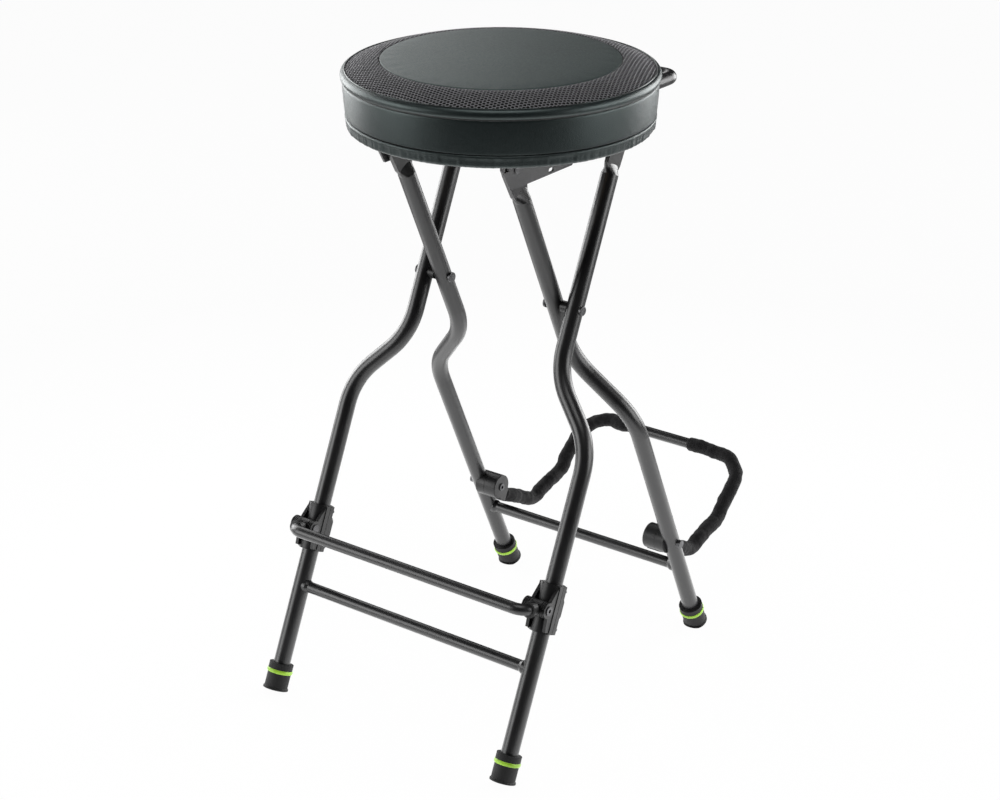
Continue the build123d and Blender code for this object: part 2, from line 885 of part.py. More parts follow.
def make_seat():
    """Padded seat, its carrier plate and the U-shaped tube fixed under it."""
    keep(make_seat_board(), "seat_board")
    keep(make_seat_foam(), "seat_foam")
    keep(make_centre_panel(), "seat_centre_panel")
    mesh_ring = make_skin(roll_high, mesh_middle, mesh_high, mesh_high_in, mesh_middle_in, roll_high_in)
    edge_roll = make_skin(band_high, roll_middle, roll_high, roll_high_in, roll_middle_in, band_high_in)
    side_band = make_skin(band_low, band_middle, band_high, band_high_in, band_middle_in, band_low_in)
    keep(mesh_ring, "seat_mesh_ring")
    keep(edge_roll, "seat_edge_roll")
    keep(side_band, "seat_side_band")
    keep(make_cover_skirt(), "seat_cover_skirt")
    keep(make_seat_pan(), "seat_pan")
    keep(make_pan_screws(), "seat_pan_screws")
    keep(make_seat_hinge_bolts(), "seat_hinge_bolts")
    keep(make_seat_hinge_nuts(), "seat_hinge_nuts")
    keep(make_seat_hinge_washers(), "seat_hinge_washers")
    keep(make_handle_bar(), "handle_bar")
    keep(make_handle_plugs(), "handle_plugs")
    keep(make_handle_clip(clip_front_at), "handle_clip_front")
    keep(make_handle_clip(clip_rear_at), "handle_clip_rear")
    keep(make_clip_screws(), "handle_clip_screws")


rest_reach = sqrt(rest_bar_ahead ** 2 + rest_bar_up ** 2)


def rest_hinge(x):
    """Centre of the footrest hinge at one x."""
    return on_leg(front_lean, x, -rest_hinge_ahead, -rest_hinge_down)


def rest_plane(x):
    """Plane through the footrest hinge: local x across, local y out to the bar."""
    ahead = rest_bar_ahead / rest_reach
    rise = rest_bar_up / rest_reach
    return Plane(origin=rest_hinge(x), x_dir=(1, 0, 0), z_dir=(0, -rise, -ahead))


def make_footrest_bar():
    """U-shaped tube of the footrest."""
    with BuildPart() as bar:
        with BuildLine(rest_plane(0)) as path:
            FilletPolyline(
                (-front_foot_half, collar_start),
                (-front_foot_half, rest_reach),
                (front_foot_half, rest_reach),
                (front_foot_half, collar_start),
                radius=rest_bend,
            )
        with BuildSketch(Plane(path.line @ 0, z_dir=path.line % 0)):
            Circle(bar_r)
            Circle(bar_r - bar_wall, mode=Mode.SUBTRACT)
        sweep(path=path.line)
    return bar


def make_footrest_knuckle(sign):
    """Turning barrel with a round collar that grips one end of the footrest tube."""
    x = sign * front_foot_half
    hinge = rest_hinge(x)
    barrel = across_at(x, hinge.Y, hinge.Z)
    neck = Plane(hinge, x_dir=(1, 0, 0), z_dir=rest_plane(x).y_dir)
    with BuildPart() as knuckle:
        with BuildSketch(barrel):
            Circle(knuckle_d / 2)
        extrude(amount=knuckle_half, both=True)
        with BuildSketch(neck):
            Rectangle(knuckle_half * 2, neck_half * 2)
        extrude(amount=collar_start)
        with BuildSketch(neck.offset(collar_start)):
            Circle(collar_d / 2)
        extrude(amount=collar_reach - collar_start)
        with BuildSketch(barrel):
            Circle(rest_bolt_d / 2 + running_fit)
        extrude(amount=collar_d, both=True, mode=Mode.SUBTRACT)
        with BuildLine(rest_plane(0)) as path:
            FilletPolyline(
                (x, collar_start),
                (x, rest_reach),
                (0, rest_reach),
                radius=rest_bend,
            )
        with BuildSketch(Plane(path.line @ 0, z_dir=path.line % 0)):
            Circle(bar_r)
        sweep(path=path.line, mode=Mode.SUBTRACT)
    return knuckle


def wing_outline():
    """Side outline of a clamp's lug from the sleeve out to the hinge, backwards and up."""
    Polyline(
        (-clamp_split_gap / 2, clamp_height / 2),
        (-wing_top_ahead, clamp_height / 2),
        (-wing_side_ahead, wing_side_up),
        (-wing_chin_ahead, -wing_chin_down),
        (-tube_r - clamp_wall, -wing_low_down),
        (-clamp_split_gap / 2, -wing_low_down),
        close=True,
    )


def clamp_plane(x):
    """Side plane of a front leg with its origin on the tube beside the footrest hinge."""
    side = frame_side(front_lean, x)
    return Plane(on_leg(front_lean, x, 0, -rest_hinge_down), x_dir=side.x_dir, z_dir=side.z_dir)


def make_clamp_front(x):
    """Front half of a footrest clamp with two ribbed lugs for the hinge bolt."""
    tube = along_leg(front_lean, x, 0, -rest_hinge_down)
    rib_count = int((lug_outer - lug_inner) / rib_pitch)
    with BuildPart() as clamp:
        with BuildSketch(tube):
            Circle(tube_r + clamp_wall)
            Rectangle(clamp_half_width * 2, clamp_flank * 2)
            with Locations((0, -clamp_split_gap / 2)):
                Rectangle(
                    clamp_half_width * 4, clamp_half_width * 2,
                    align=(Align.CENTER, Align.MIN), mode=Mode.SUBTRACT,
                )
        extrude(amount=clamp_height / 2, both=True)
        for sign in (-1, 1):
            with BuildSketch(clamp_plane(x + sign * wing_inner)):
                with BuildLine():
                    wing_outline()
                make_face()
            extrude(amount=sign * (wing_outer - wing_inner))
            with BuildSketch(clamp_plane(x + sign * lug_inner)):
                with Locations((-rest_hinge_ahead, 0)):
                    Circle(lug_d / 2)
            extrude(amount=sign * (lug_outer - lug_inner))
            for rib in range(rib_count):
                with BuildSketch(clamp_plane(x + sign * (lug_outer - rib_pitch * rib - rib_gap))):
                    with Locations((-rest_hinge_ahead, 0)):
                        Circle(lug_d / 2)
                        Circle(lug_d / 2 - rib_depth, mode=Mode.SUBTRACT)
                extrude(amount=-sign * rib_gap, mode=Mode.SUBTRACT)
        with BuildSketch(tube):
            Circle(tube_r)
        extrude(amount=clamp_height, both=True, mode=Mode.SUBTRACT)
        with BuildSketch(clamp_plane(x)):
            with Locations((-rest_hinge_ahead, 0)):
                Circle(rest_bolt_d / 2)
        extrude(amount=lug_outer * 2, both=True, mode=Mode.SUBTRACT)
        with BuildSketch(clamp_plane(x)):
            with Locations((-rest_hinge_ahead, 0)):
                Circle(knuckle_d / 2 + side_play)
        extrude(amount=lug_inner, both=True, mode=Mode.SUBTRACT)
        with BuildSketch(clamp_screw_plane(x)):
            with GridLocations(clamp_screw_off * 2, clamp_screw_up * 2, 2, 2):
                Circle(clamp_screw_d / 2)
        extrude(amount=clamp_flank + clamp_screw_bite, mode=Mode.SUBTRACT)
    return clamp


def clamp_screw_plane(x):
    """Plane of the clamp screws' heads behind the tube: local x across, facing the tube."""
    side = frame_side(front_lean, x)
    rear = on_leg(front_lean, x, clamp_flank, -rest_hinge_down)
    return Plane(rear, x_dir=(1, 0, 0), z_dir=-side.x_dir)


def make_clamp_back(x):
    """Rear half of a footrest clamp with a raised oval grip behind it."""
    tube = along_leg(front_lean, x, 0, -rest_hinge_down)
    outer_r = tube_r + clamp_wall
    heads = clamp_screw_plane(x)
    with BuildPart() as clamp:
        with BuildSketch(tube):
            Circle(outer_r)
            Rectangle(clamp_half_width * 2, clamp_flank * 2)
            with Locations((0, clamp_split_gap / 2)):
                Rectangle(
                    clamp_half_width * 4, clamp_half_width * 2,
                    align=(Align.CENTER, Align.MAX), mode=Mode.SUBTRACT,
                )
        extrude(amount=clamp_height / 2, both=True)
        with BuildSketch(heads):
            with GridLocations(clamp_screw_off * 2, clamp_screw_up * 2, 2, 2):
                Circle(clamp_screw_head_d / 2 + clamp_screw_room)
        extrude(amount=-outer_r, mode=Mode.SUBTRACT)
        with BuildSketch(heads.offset(clamp_flank - outer_r + pad_sink)):
            SlotOverall(pad_length, pad_width, rotation=90)
        extrude(amount=-pad_height - pad_sink)
        pad_face = clamp.faces().sort_by(Axis(tube.origin, tube.y_dir))[-1]
        chamfer(pad_face.edges(), pad_edge)
        with BuildSketch(tube):
            Circle(tube_r)
        extrude(amount=clamp_height, both=True, mode=Mode.SUBTRACT)
        with BuildSketch(heads):
            with GridLocations(clamp_screw_off * 2, clamp_screw_up * 2, 2, 2):
                Circle(clamp_screw_d / 2)
        extrude(amount=clamp_flank, mode=Mode.SUBTRACT)
    return clamp


def make_clamp_screws():
    """Small screws that pull the two halves of the footrest clamps together."""
    with BuildPart() as screws:
        for side, sign in sides:
            heads = clamp_screw_plane(sign * front_foot_half)
            with BuildSketch(heads):
                with GridLocations(clamp_screw_off * 2, clamp_screw_up * 2, 2, 2):
                    Circle(clamp_screw_d / 2)
            extrude(amount=clamp_flank + clamp_screw_bite)
            with BuildSketch(heads):
                with GridLocations(clamp_screw_off * 2, clamp_screw_up * 2, 2, 2):
                    Circle(clamp_screw_head_d / 2)
            extrude(amount=-clamp_screw_head_height)
    return screws


def make_footrest_bolts():
    """Bolts of the footrest hinges, each with a sunk socket in its head."""
    with BuildPart() as bolts:
        for side, sign in sides:
            hinge = rest_hinge(sign * front_foot_half)
            outer = sign * (front_foot_half + lug_outer)
            inwards = across_at(outer, hinge.Y, hinge.Z, -sign)
            round_plate(inwards, rest_bolt_d / 2, 0, lug_outer * 2 + rest_head_height)
            round_plate(inwards, rest_head_d / 2, 0, -rest_head_height)
            with BuildSketch(across_at(outer + sign * rest_head_height, hinge.Y, hinge.Z, -sign)):
                RegularPolygon(socket_d / 2, 6)
            extrude(amount=socket_depth, mode=Mode.SUBTRACT)
    return bolts


def make_footrest_nuts():
    """Round nuts on the inner ends of the footrest hinge bolts."""
    with BuildPart() as nuts:
        for side, sign in sides:
            hinge = rest_hinge(sign * front_foot_half)
            inner = sign * (front_foot_half - lug_outer)
            round_plate(
                across_at(inner, hinge.Y, hinge.Z, -sign),
                rest_head_d / 2, rest_bolt_d / 2, rest_head_height,
            )
    return nuts


def make_footrest():
    """Footrest with the clamps that carry it on the wider frame."""
    keep(make_footrest_bar(), "footrest_bar")
    for side, sign in sides:
        x = sign * front_foot_half
        keep(make_footrest_knuckle(sign), f"footrest_knuckle_{side}")
        keep(make_clamp_front(x), f"footrest_clamp_front_{side}")
        keep(make_clamp_back(x), f"footrest_clamp_back_{side}")
    keep(make_clamp_screws(), "footrest_clamp_screws")
    keep(make_footrest_bolts(), "footrest_hinge_bolts")
    keep(make_footrest_nuts(), "footrest_hinge_nuts")
    keep(make_seat_rest_pins(), "seat_rest_pins")


yoke_hinge = on_leg(back_lean, 0, 0, -yoke_hinge_down)
yoke_low = Vector(0, yoke_low_out, -yoke_low_down)
yoke_root = Vector(0, yoke_root_out, -yoke_root_down)
yoke_arm_way = (yoke_low - yoke_root).normalized()
yoke_bends = [yoke_low_bend, yoke_knee_bend]


def yoke_points(sign, start, end_half):
    """Corner points of one side of the yoke, from beside its hinge to its cross part."""
    arm = yoke_hinge + Vector(sign * yoke_arm_half, 0, 0)
    return [
        arm + yoke_root + yoke_arm_way * start,
        arm + yoke_low,
        arm + Vector(0, yoke_knee_out, -yoke_knee_down),
        arm + Vector(0, yoke_end_out, yoke_end_up),
        yoke_hinge + Vector(sign * end_half, yoke_end_out, yoke_end_up),
    ]


def make_yoke_bar():
    """Bent tube of the guitar yoke: two dipped arms and a cross part."""
    left = yoke_points(-1, -yoke_arm_bite, 0)
    right = yoke_points(1, -yoke_arm_bite, 0)
    with BuildPart() as bar:
        with BuildLine() as path:
            FilletPolyline(
                left[:-1] + right[-2::-1],
                radius=yoke_bends + [yoke_corner_bend, yoke_corner_bend] + yoke_bends[::-1],
            )
        with BuildSketch(Plane(path.line @ 0, z_dir=path.line % 0)):
            Circle(bar_r)
            Circle(bar_r - bar_wall, mode=Mode.SUBTRACT)
        sweep(path=path.line)
    return bar


def make_yoke_sleeve(sign):
    """Foam sleeve on one side of the yoke."""
    with BuildPart() as sleeve:
        with BuildLine() as path:
            FilletPolyline(
                yoke_points(sign, sleeve_start, sleeve_end_half),
                radius=yoke_bends + [yoke_corner_bend],
            )
        with BuildSketch(Plane(path.line @ 0, z_dir=path.line % 0)):
            Circle(sleeve_d / 2)
            Circle(bar_r, mode=Mode.SUBTRACT)
        sweep(path=path.line)
    return sleeve


yoke_boss_face = back_foot_half - boss_split
yoke_turning_face = yoke_boss_face - side_play
yoke_inner_face = back_foot_half - boss_inner


def make_yoke_clamp(sign):
    """Fixed round boss that saddles the inner side of a rear leg."""
    start = sign * (back_foot_half - boss_saddle)
    with BuildPart() as clamp:
        round_plate(
            across_at(start, yoke_hinge.Y, yoke_hinge.Z, -sign),
            boss_d / 2, yoke_bolt_d / 2, boss_split - boss_saddle,
        )
        cut_tube(back_lean, sign * back_foot_half, -yoke_hinge_down)
    return clamp


def make_yoke_knuckle(sign):
    """Turning disc of a yoke hinge with a socket that grips the end of the tube."""
    arm_x = sign * yoke_arm_half
    turning = across_at(sign * yoke_turning_face, yoke_hinge.Y, yoke_hinge.Z, -sign)
    thickness = yoke_turning_face - yoke_inner_face
    middle = sign * (yoke_turning_face + yoke_inner_face) / 2
    root = yoke_hinge + yoke_root
    neck = Plane(root + Vector(middle, 0, 0), x_dir=(1, 0, 0), z_dir=yoke_arm_way)
    arm = Plane(root + Vector(arm_x, 0, 0), x_dir=(1, 0, 0), z_dir=yoke_arm_way)
    with BuildPart() as knuckle:
        round_plate(turning, boss_d / 2, 0, thickness)
        inner_face = knuckle.faces().sort_by(Axis.X)[0 if sign > 0 else -1]
        fillet(inner_face.edges(), boss_edge)
        with BuildSketch(neck.offset(-yoke_neck_root)):
            Rectangle(thickness, yoke_socket_d)
        extrude(amount=yoke_neck_root + yoke_neck_reach)
        with BuildSketch(arm.offset(yoke_neck_reach)):
            Circle(yoke_socket_d / 2)
        extrude(amount=yoke_socket_reach - yoke_neck_reach)
        with BuildSketch(arm.offset(-yoke_arm_bite)):
            Circle(bar_r)
        extrude(amount=yoke_socket_reach + boss_d, mode=Mode.SUBTRACT)
        with BuildSketch(turning):
            Circle(yoke_bolt_d / 2 + running_fit)
        extrude(amount=thickness, mode=Mode.SUBTRACT)
    return knuckle


def make_yoke_bolts():
    """Bolts that the yoke turns on, with socket heads on the inner side."""
    inner = yoke_inner_face - side_play
    outer = back_foot_half + tube_r + yoke_nut_height
    with BuildPart() as bolts:
        for side, sign in sides:
            round_plate(
                across_at(sign * inner, yoke_hinge.Y, yoke_hinge.Z, sign),
                yoke_bolt_d / 2, 0, outer - inner,
            )
            round_plate(
                across_at(sign * inner, yoke_hinge.Y, yoke_hinge.Z, -sign),
                yoke_head_d / 2, 0, yoke_head_height,
            )
            head_top = across_at(sign * (inner - yoke_head_height), yoke_hinge.Y, yoke_hinge.Z, sign)
            with BuildSketch(head_top):
                RegularPolygon(socket_d / 2, 6)
            extrude(amount=socket_depth, mode=Mode.SUBTRACT)
    return bolts


def make_yoke_nuts():
    """Round nuts on the outer ends of the yoke bolts, saddled to the legs."""
    outer = back_foot_half + tube_r + yoke_nut_height
    with BuildPart() as nuts:
        for side, sign in sides:
            round_plate(
                across_at(sign * outer, yoke_hinge.Y, yoke_hinge.Z, -sign),
                yoke_nut_d / 2, yoke_bolt_d / 2, yoke_nut_height + saddle_depth,
            )
            cut_tube(back_lean, sign * back_foot_half, -yoke_hinge_down)
    return nuts


def make_yoke():
    """Guitar yoke with its foam sleeves and hinges."""
    keep(make_yoke_bar(), "yoke_bar")
    for side, sign in sides:
        keep(make_yoke_sleeve(sign), f"yoke_sleeve_{side}")
        keep(make_yoke_knuckle(sign), f"yoke_knuckle_{side}")
        keep(make_yoke_clamp(sign), f"yoke_clamp_{side}")
    keep(make_yoke_bolts(), "yoke_hinge_bolts")
    keep(make_yoke_nuts(), "yoke_hinge_nuts")


make_front_frame()
make_back_frame()
make_seat()
make_footrest()
make_yoke()
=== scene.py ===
import json
from math import atan2, cos, hypot, pi, radians, sin, sqrt

import bpy
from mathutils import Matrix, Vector, noise


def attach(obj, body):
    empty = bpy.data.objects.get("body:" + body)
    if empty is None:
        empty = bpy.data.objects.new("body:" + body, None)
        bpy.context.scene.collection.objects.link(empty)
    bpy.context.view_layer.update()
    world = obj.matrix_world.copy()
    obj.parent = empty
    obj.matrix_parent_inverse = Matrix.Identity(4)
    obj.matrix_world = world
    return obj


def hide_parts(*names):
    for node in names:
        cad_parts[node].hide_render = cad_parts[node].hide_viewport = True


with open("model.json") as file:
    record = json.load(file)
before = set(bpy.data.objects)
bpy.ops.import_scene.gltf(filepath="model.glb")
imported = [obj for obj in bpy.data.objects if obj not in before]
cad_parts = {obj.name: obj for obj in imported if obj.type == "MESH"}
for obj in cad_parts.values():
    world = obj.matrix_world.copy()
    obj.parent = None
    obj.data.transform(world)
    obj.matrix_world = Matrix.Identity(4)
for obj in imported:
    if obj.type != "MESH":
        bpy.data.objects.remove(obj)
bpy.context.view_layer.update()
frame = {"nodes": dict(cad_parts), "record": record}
MM = 0.001

# Places that the solids fix, in millimetres: the seat's axis, the board's underside, the yoke's hinge,
# and the handle's two tubes under the seat with the room that the hem leaves round them
SEAT_Y = -63.257
BOARD_Z = 647.0
YOKE_HINGE = Vector((0, 81.634, 133.016))
HANDLE_HALF, HANDLE_UP, HANDLE_ROOM = 39.0, -10.0, 8.2


# Materials
class Paint:
    """A node material on the Principled shader, with short calls for its texture nodes."""

    def __init__(self, name, color, rough, metal=0.0):
        self.mat = bpy.data.materials.new(name)
        self.mat.use_nodes = True
        self.nodes = self.mat.node_tree.nodes
        self.links = self.mat.node_tree.links
        self.shader = self.nodes["Principled BSDF"]
        self.shader.inputs["Base Color"].default_value = (*color, 1)
        self.shader.inputs["Roughness"].default_value = rough
        self.shader.inputs["Metallic"].default_value = metal
        self.place = self.nodes.new("ShaderNodeTexCoord").outputs["Object"]
        self.last_normal = None

    def join(self, out, into):
        self.links.new(out, into)
        return self

    def stretch(self, scale):
        """Object coordinates scaled by three factors."""
        node = self.nodes.new("ShaderNodeMapping")
        node.inputs["Scale"].default_value = scale
        self.join(self.place, node.inputs["Vector"])
        return node.outputs["Vector"]

    def noise(self, scale, detail, rough=0.5, where=None):
        """Soft noise from 0 to 1."""
        node = self.nodes.new("ShaderNodeTexNoise")
        node.inputs["Scale"].default_value = scale
        node.inputs["Detail"].default_value = detail
        node.inputs["Roughness"].default_value = rough
        self.join(where or self.place, node.inputs["Vector"])
        return node.outputs["Fac"]

    def cells(self, scale, feature="F1"):
        """Distances in a pattern of irregular cells."""
        node = self.nodes.new("ShaderNodeTexVoronoi")
        node.feature = feature
        node.inputs["Scale"].default_value = scale
        self.join(self.place, node.inputs["Vector"])
        return node.outputs["Distance"]

    def ramp(self, value, low, high, to_low=0.0, to_high=1.0):
        """Value between low and high, spread from to_low to to_high."""
        node = self.nodes.new("ShaderNodeMapRange")
        node.inputs["From Min"].default_value = low
        node.inputs["From Max"].default_value = high
        node.inputs["To Min"].default_value = to_low
        node.inputs["To Max"].default_value = to_high
        self.join(value, node.inputs["Value"])
        return node.outputs["Result"]

    def mix(self, factor, first, second):
        """Two colours mixed by a value from 0 to 1."""
        node = self.nodes.new("ShaderNodeMix")
        node.data_type = "RGBA"
        self.join(factor, node.inputs[0])
        for socket, value in ((node.inputs[6], first), (node.inputs[7], second)):
            if isinstance(value, tuple):
                socket.default_value = (*value, 1)
            else:
                self.join(value, socket)
        return node.outputs[2]

    def combine(self, operation, first, second):
        """Two values, or a value and a number, joined by a math operation."""
        node = self.nodes.new("ShaderNodeMath")
        node.operation = operation
        for socket, value in ((node.inputs[0], first), (node.inputs[1], second)):
            if isinstance(value, (int, float)):
                socket.default_value = value
            else:
                self.join(value, socket)
        return node.outputs[0]

    def color(self, out):
        return self.join(out, self.shader.inputs["Base Color"])

    def rough(self, out):
        return self.join(out, self.shader.inputs["Roughness"])

    def bump(self, height, depth, strength):
        """Adds a bump of a given depth in metres on top of the earlier ones."""
        node = self.nodes.new("ShaderNodeBump")
        node.inputs["Strength"].default_value = strength
        node.inputs["Distance"].default_value = depth
        self.join(height, node.inputs["Height"])
        if self.last_normal:
            self.join(self.last_normal, node.inputs["Normal"])
        self.last_normal = node.outputs["Normal"]
        return self.join(self.last_normal, self.shader.inputs["Normal"])


def toned(color, share, lift=0.0):
    """A colour times a share, with an even lift."""
    return tuple(c * share + lift for c in color)


def coated_steel(name, color, rough):
    """Satin powder coat: fine orange peel, faint clouds and a few dull rubbed spots."""
    p = Paint(name, color, rough)
    clouds = p.noise(scale=14, detail=4)
    light = toned(color, share=1.5, lift=0.004)
    p.color(p.mix(p.ramp(clouds, low=0.35, high=0.7), color, light))
    spots = p.noise(scale=90, detail=5, rough=0.65)
    coat = p.ramp(clouds, low=0.3, high=0.7, to_low=rough - 0.04, to_high=rough + 0.05)
    rubbed = p.ramp(spots, low=0.62, high=0.72, to_high=0.07)
    p.rough(p.combine("ADD", coat, rubbed))
    p.bump(p.noise(scale=900, detail=2), depth=0.00006, strength=0.6)
    p.bump(p.noise(scale=2600, detail=1), depth=0.00002, strength=0.5)
    return p.mat


def moulded(name, color, rough, grain, depth):
    """Moulded plastic or rubber with a fine eroded texture."""
    p = Paint(name, color, rough)
    patches = p.noise(scale=35, detail=4)
    light = toned(color, share=1.6, lift=0.001)
    p.color(p.mix(p.ramp(patches, low=0.4, high=0.75), color, light))
    clouds = p.noise(scale=60, detail=5)
    p.rough(p.ramp(clouds, low=0.3, high=0.7, to_low=rough - 0.06, to_high=rough + 0.06))
    p.bump(p.noise(scale=grain, detail=3, rough=0.6), depth, strength=0.8)
    p.shader.inputs["Specular IOR Level"].default_value = 0.33
    return p.mat


def leather(name, color, rough, grain=1250, depth=0.00009):
    """Synthetic leather: small pebbles with creases between them, painted shade that darkens the creases,
    and slight colour clouds.
    """
    p = Paint(name, color, rough)
    pebbles = p.cells(grain, "SMOOTH_F1")
    veins = p.cells(grain * 0.55, "DISTANCE_TO_EDGE")
    clouds = p.noise(scale=9, detail=3)
    fine = p.noise(scale=420, detail=4, rough=0.6)
    light = toned(color, share=1.35)
    tone = p.mix(p.ramp(clouds, low=0.3, high=0.7), color, light)
    # Painted shade: the colour darkens in the creases between the pebbles, where the bump sinks them.
    dark = toned(color, share=0.6)
    p.color(p.mix(p.ramp(veins, low=0.0, high=0.12, to_low=0.55, to_high=0.0), tone, dark))
    p.rough(p.ramp(fine, low=0.25, high=0.75, to_low=rough - 0.06, to_high=rough + 0.07))
    p.bump(pebbles, depth, strength=0.7)
    p.bump(p.ramp(veins, low=0.0, high=0.2), depth * 0.9, strength=0.6)
    p.bump(fine, depth=0.0002, strength=0.25)
    p.shader.inputs["Sheen Weight"].default_value = 0.04
    p.shader.inputs["Sheen Roughness"].default_value = 0.5
    p.shader.inputs["Specular Tint"].default_value = (0.82, 1.0, 0.98, 1)
    return p.mat


def knitted(name, color, rough):
    """Knitted spacer cloth: fine crossing yarns, lighter where they rise, with painted shade darkening the
    low gaps between them.
    """
    p = Paint(name, color, rough)
    yarn = p.noise(scale=2400, detail=2, where=p.stretch((1.0, 0.35, 1.0)))
    cross = p.noise(scale=2400, detail=2, where=p.stretch((0.35, 1.0, 1.0)))
    both = p.combine("MAXIMUM", yarn, cross)
    # Painted shade: the colour follows the yarns' bump height, so the low gaps between the yarns take the
    # darker colour and the raised yarns the lighter one.
    light = toned(color, share=2.4, lift=0.004)
    p.color(p.mix(p.ramp(both, low=0.45, high=0.75), color, light))
    p.bump(both, depth=0.00018, strength=0.9)
    p.shader.inputs["Sheen Weight"].default_value = 0.25
    p.shader.inputs["Sheen Roughness"].default_value = 0.4
    return p.mat


def soft_foam(name, color, rough):
    """Closed-cell foam skin with open pores, and a painted highlight that lightens its raised lumps."""
    p = Paint(name, color, rough)
    pores = p.cells(scale=1100)
    lumps = p.noise(scale=220, detail=4, rough=0.6)
    # Painted highlight: the colour follows the lumps' bump height and is lighter on the raised lumps.
    light = toned(color, share=2.2, lift=0.001)
    p.color(p.mix(p.ramp(lumps, low=0.42, high=0.72), color, light))
    p.bump(pores, depth=0.00022, strength=0.8)
    p.bump(lumps, depth=0.0004, strength=0.5)
    p.shader.inputs["Sheen Weight"].default_value = 0.02
    p.shader.inputs["Specular IOR Level"].default_value = 0.3
    return p.mat


def dark_metal(name, color, rough):
    """Blackened steel with turning marks and lighter clouds."""
    p = Paint(name, color, rough, metal=0.7)
    turned = p.noise(scale=1800, detail=2, where=p.stretch((0.08, 1.0, 1.0)))
    clouds = p.noise(scale=120, detail=4)
    light = toned(color, share=2.2)
    p.color(p.mix(p.ramp(clouds, low=0.4, high=0.7), color, light))
    p.rough(p.ramp(turned, low=0.3, high=0.7, to_low=rough - 0.07, to_high=rough + 0.1))
    p.bump(turned, depth=0.00003, strength=0.6)
    return p.mat


def raw_plywood(name):
    """Plywood: long grain on the faces and thin plies at the edge."""
    pale, middle = (0.50, 0.36, 0.22), (0.42, 0.29, 0.17)
    brown, dark = (0.30, 0.19, 0.10), (0.22, 0.14, 0.08)
    p = Paint(name, middle, rough=0.7)
    grain = p.noise(scale=70, detail=6, rough=0.6, where=p.stretch((1.0, 0.06, 1.0)))
    fine = p.noise(scale=900, detail=3, rough=0.6, where=p.stretch((1.0, 0.04, 1.0)))
    tone = p.mix(p.ramp(grain, low=0.3, high=0.7), pale, brown)
    p.color(p.mix(p.ramp(fine, low=0.5, high=0.8, to_high=0.5), tone, dark))
    p.bump(fine, depth=0.0002, strength=0.6)
    return p.mat


TUBE = coated_steel("satin_black_tube", (0.005, 0.005, 0.0055), 0.33)
PLATE = coated_steel("satin_black_plate", (0.02, 0.02, 0.0215), 0.36)
FASTENER = dark_metal("dark_fastener", (0.05, 0.05, 0.052), 0.34)
RUBBER = moulded("foot_rubber", (0.0006, 0.0006, 0.0007), 0.7, grain=900, depth=0.00009)
LIME = moulded("lime_band", (0.19, 0.35, 0.02), 0.4, grain=1200, depth=0.00003)
PLASTIC = moulded("black_moulding", (0.0045, 0.0045, 0.0048), 0.42, grain=1600, depth=0.00006)
# Painted light: the centre panel's leather is a lighter copy of the side leather, of the same hue, for the
# light that falls on the seat's top.
LIT_CENTRE_LEATHER = leather("lit_copy_centre_leather", (0.015, 0.024, 0.023), 0.5)
SIDE = leather("side_leather", (0.004, 0.0065, 0.007), 0.38, grain=1100)
HEM = leather("hem_leather", (0.005, 0.007, 0.0075), 0.42, grain=1100)
PIPING = leather("edge_piping", (0.012, 0.013, 0.013), 0.24, grain=1400, depth=0.00004)
MESH = knitted("spacer_mesh", (0.078, 0.077, 0.083), 0.5)
# Painted shade: a near-black, fully matte paint for the mesh's backing and the depths of its holes, and
# for the groove at the band's seam, where shade falls.
SHADE_BLACK = knitted("painted_shade_black", (0.0015, 0.0015, 0.0015), 0.98)
FOAM = soft_foam("yoke_foam", (0.0022, 0.002, 0.0024), 0.9)
CORE = soft_foam("cushion_foam", (0.06, 0.058, 0.052), 0.9)
WOOD = raw_plywood("raw_plywood")
THREAD = knitted("seam_thread", (0.02, 0.021, 0.021), 0.6)
STAPLE = dark_metal("staple_wire", (0.35, 0.35, 0.36), 0.3)

SLOT_PAINT = {
    "black_tube": TUBE, "black_plate": PLATE, "dark_fastener": FASTENER, "foot_rubber": RUBBER,
    "lime_band": LIME, "black_moulding": PLASTIC, "black_foam": FOAM, "black_leather": SIDE,
    "black_mesh": MESH, "cushion_foam": CORE, "plywood": WOOD,
}
for part in frame["record"]["subparts"]:
    node = frame["nodes"][part["node"]]
    node.data.materials.clear()
    node.data.materials.append(SLOT_PAINT[part["material_slot"]])


# Mesh helpers
def new_mesh(name, points, faces):
    """Mesh object in the scene, from points in millimetres."""
    data = bpy.data.meshes.new(name)
    data.from_pydata([tuple(c * MM for c in p) for p in points], [], faces)
    thing = bpy.data.objects.new(name, data)
    bpy.context.collection.objects.link(thing)
    return thing


def make_piece(name, points, faces, paints, body, smooth=True):
    """Visible piece that moves with a body, with one or more paints."""
    piece = new_mesh(name, points, faces)
    piece.data.validate()
    for paint in paints:
        piece.data.materials.append(paint)
    for face in piece.data.polygons:
        face.use_smooth = smooth
    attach(piece, body)
    return piece


def soften(piece):
    """One level of subdivision."""
    smooth = piece.modifiers.new("smooth", "SUBSURF")
    smooth.levels = smooth.render_levels = 1


def ring_faces(rings, count, start=0):
    """Quads between closed rings of points that follow each other."""
    faces = []
    for i in range(rings - 1):
        for j in range(count):
            k = (j + 1) % count
            a = start + i * count
            faces.append((a + j, a + k, a + count + k, a + count + j))
    return faces


def flipped(faces):
    """The same faces, seen from their other side."""
    return [tuple(reversed(face)) for face in faces]


def angles(count):
    """Angles spread evenly round a circle."""
    return [2 * pi * j / count for j in range(count)]


def around(r, angle, z):
    """Point round the seat's axis."""
    return (r * cos(angle), SEAT_Y + r * sin(angle), z)


def joined(rings):
    """The points of all rings in one list."""
    return [point for ring in rings for point in ring]


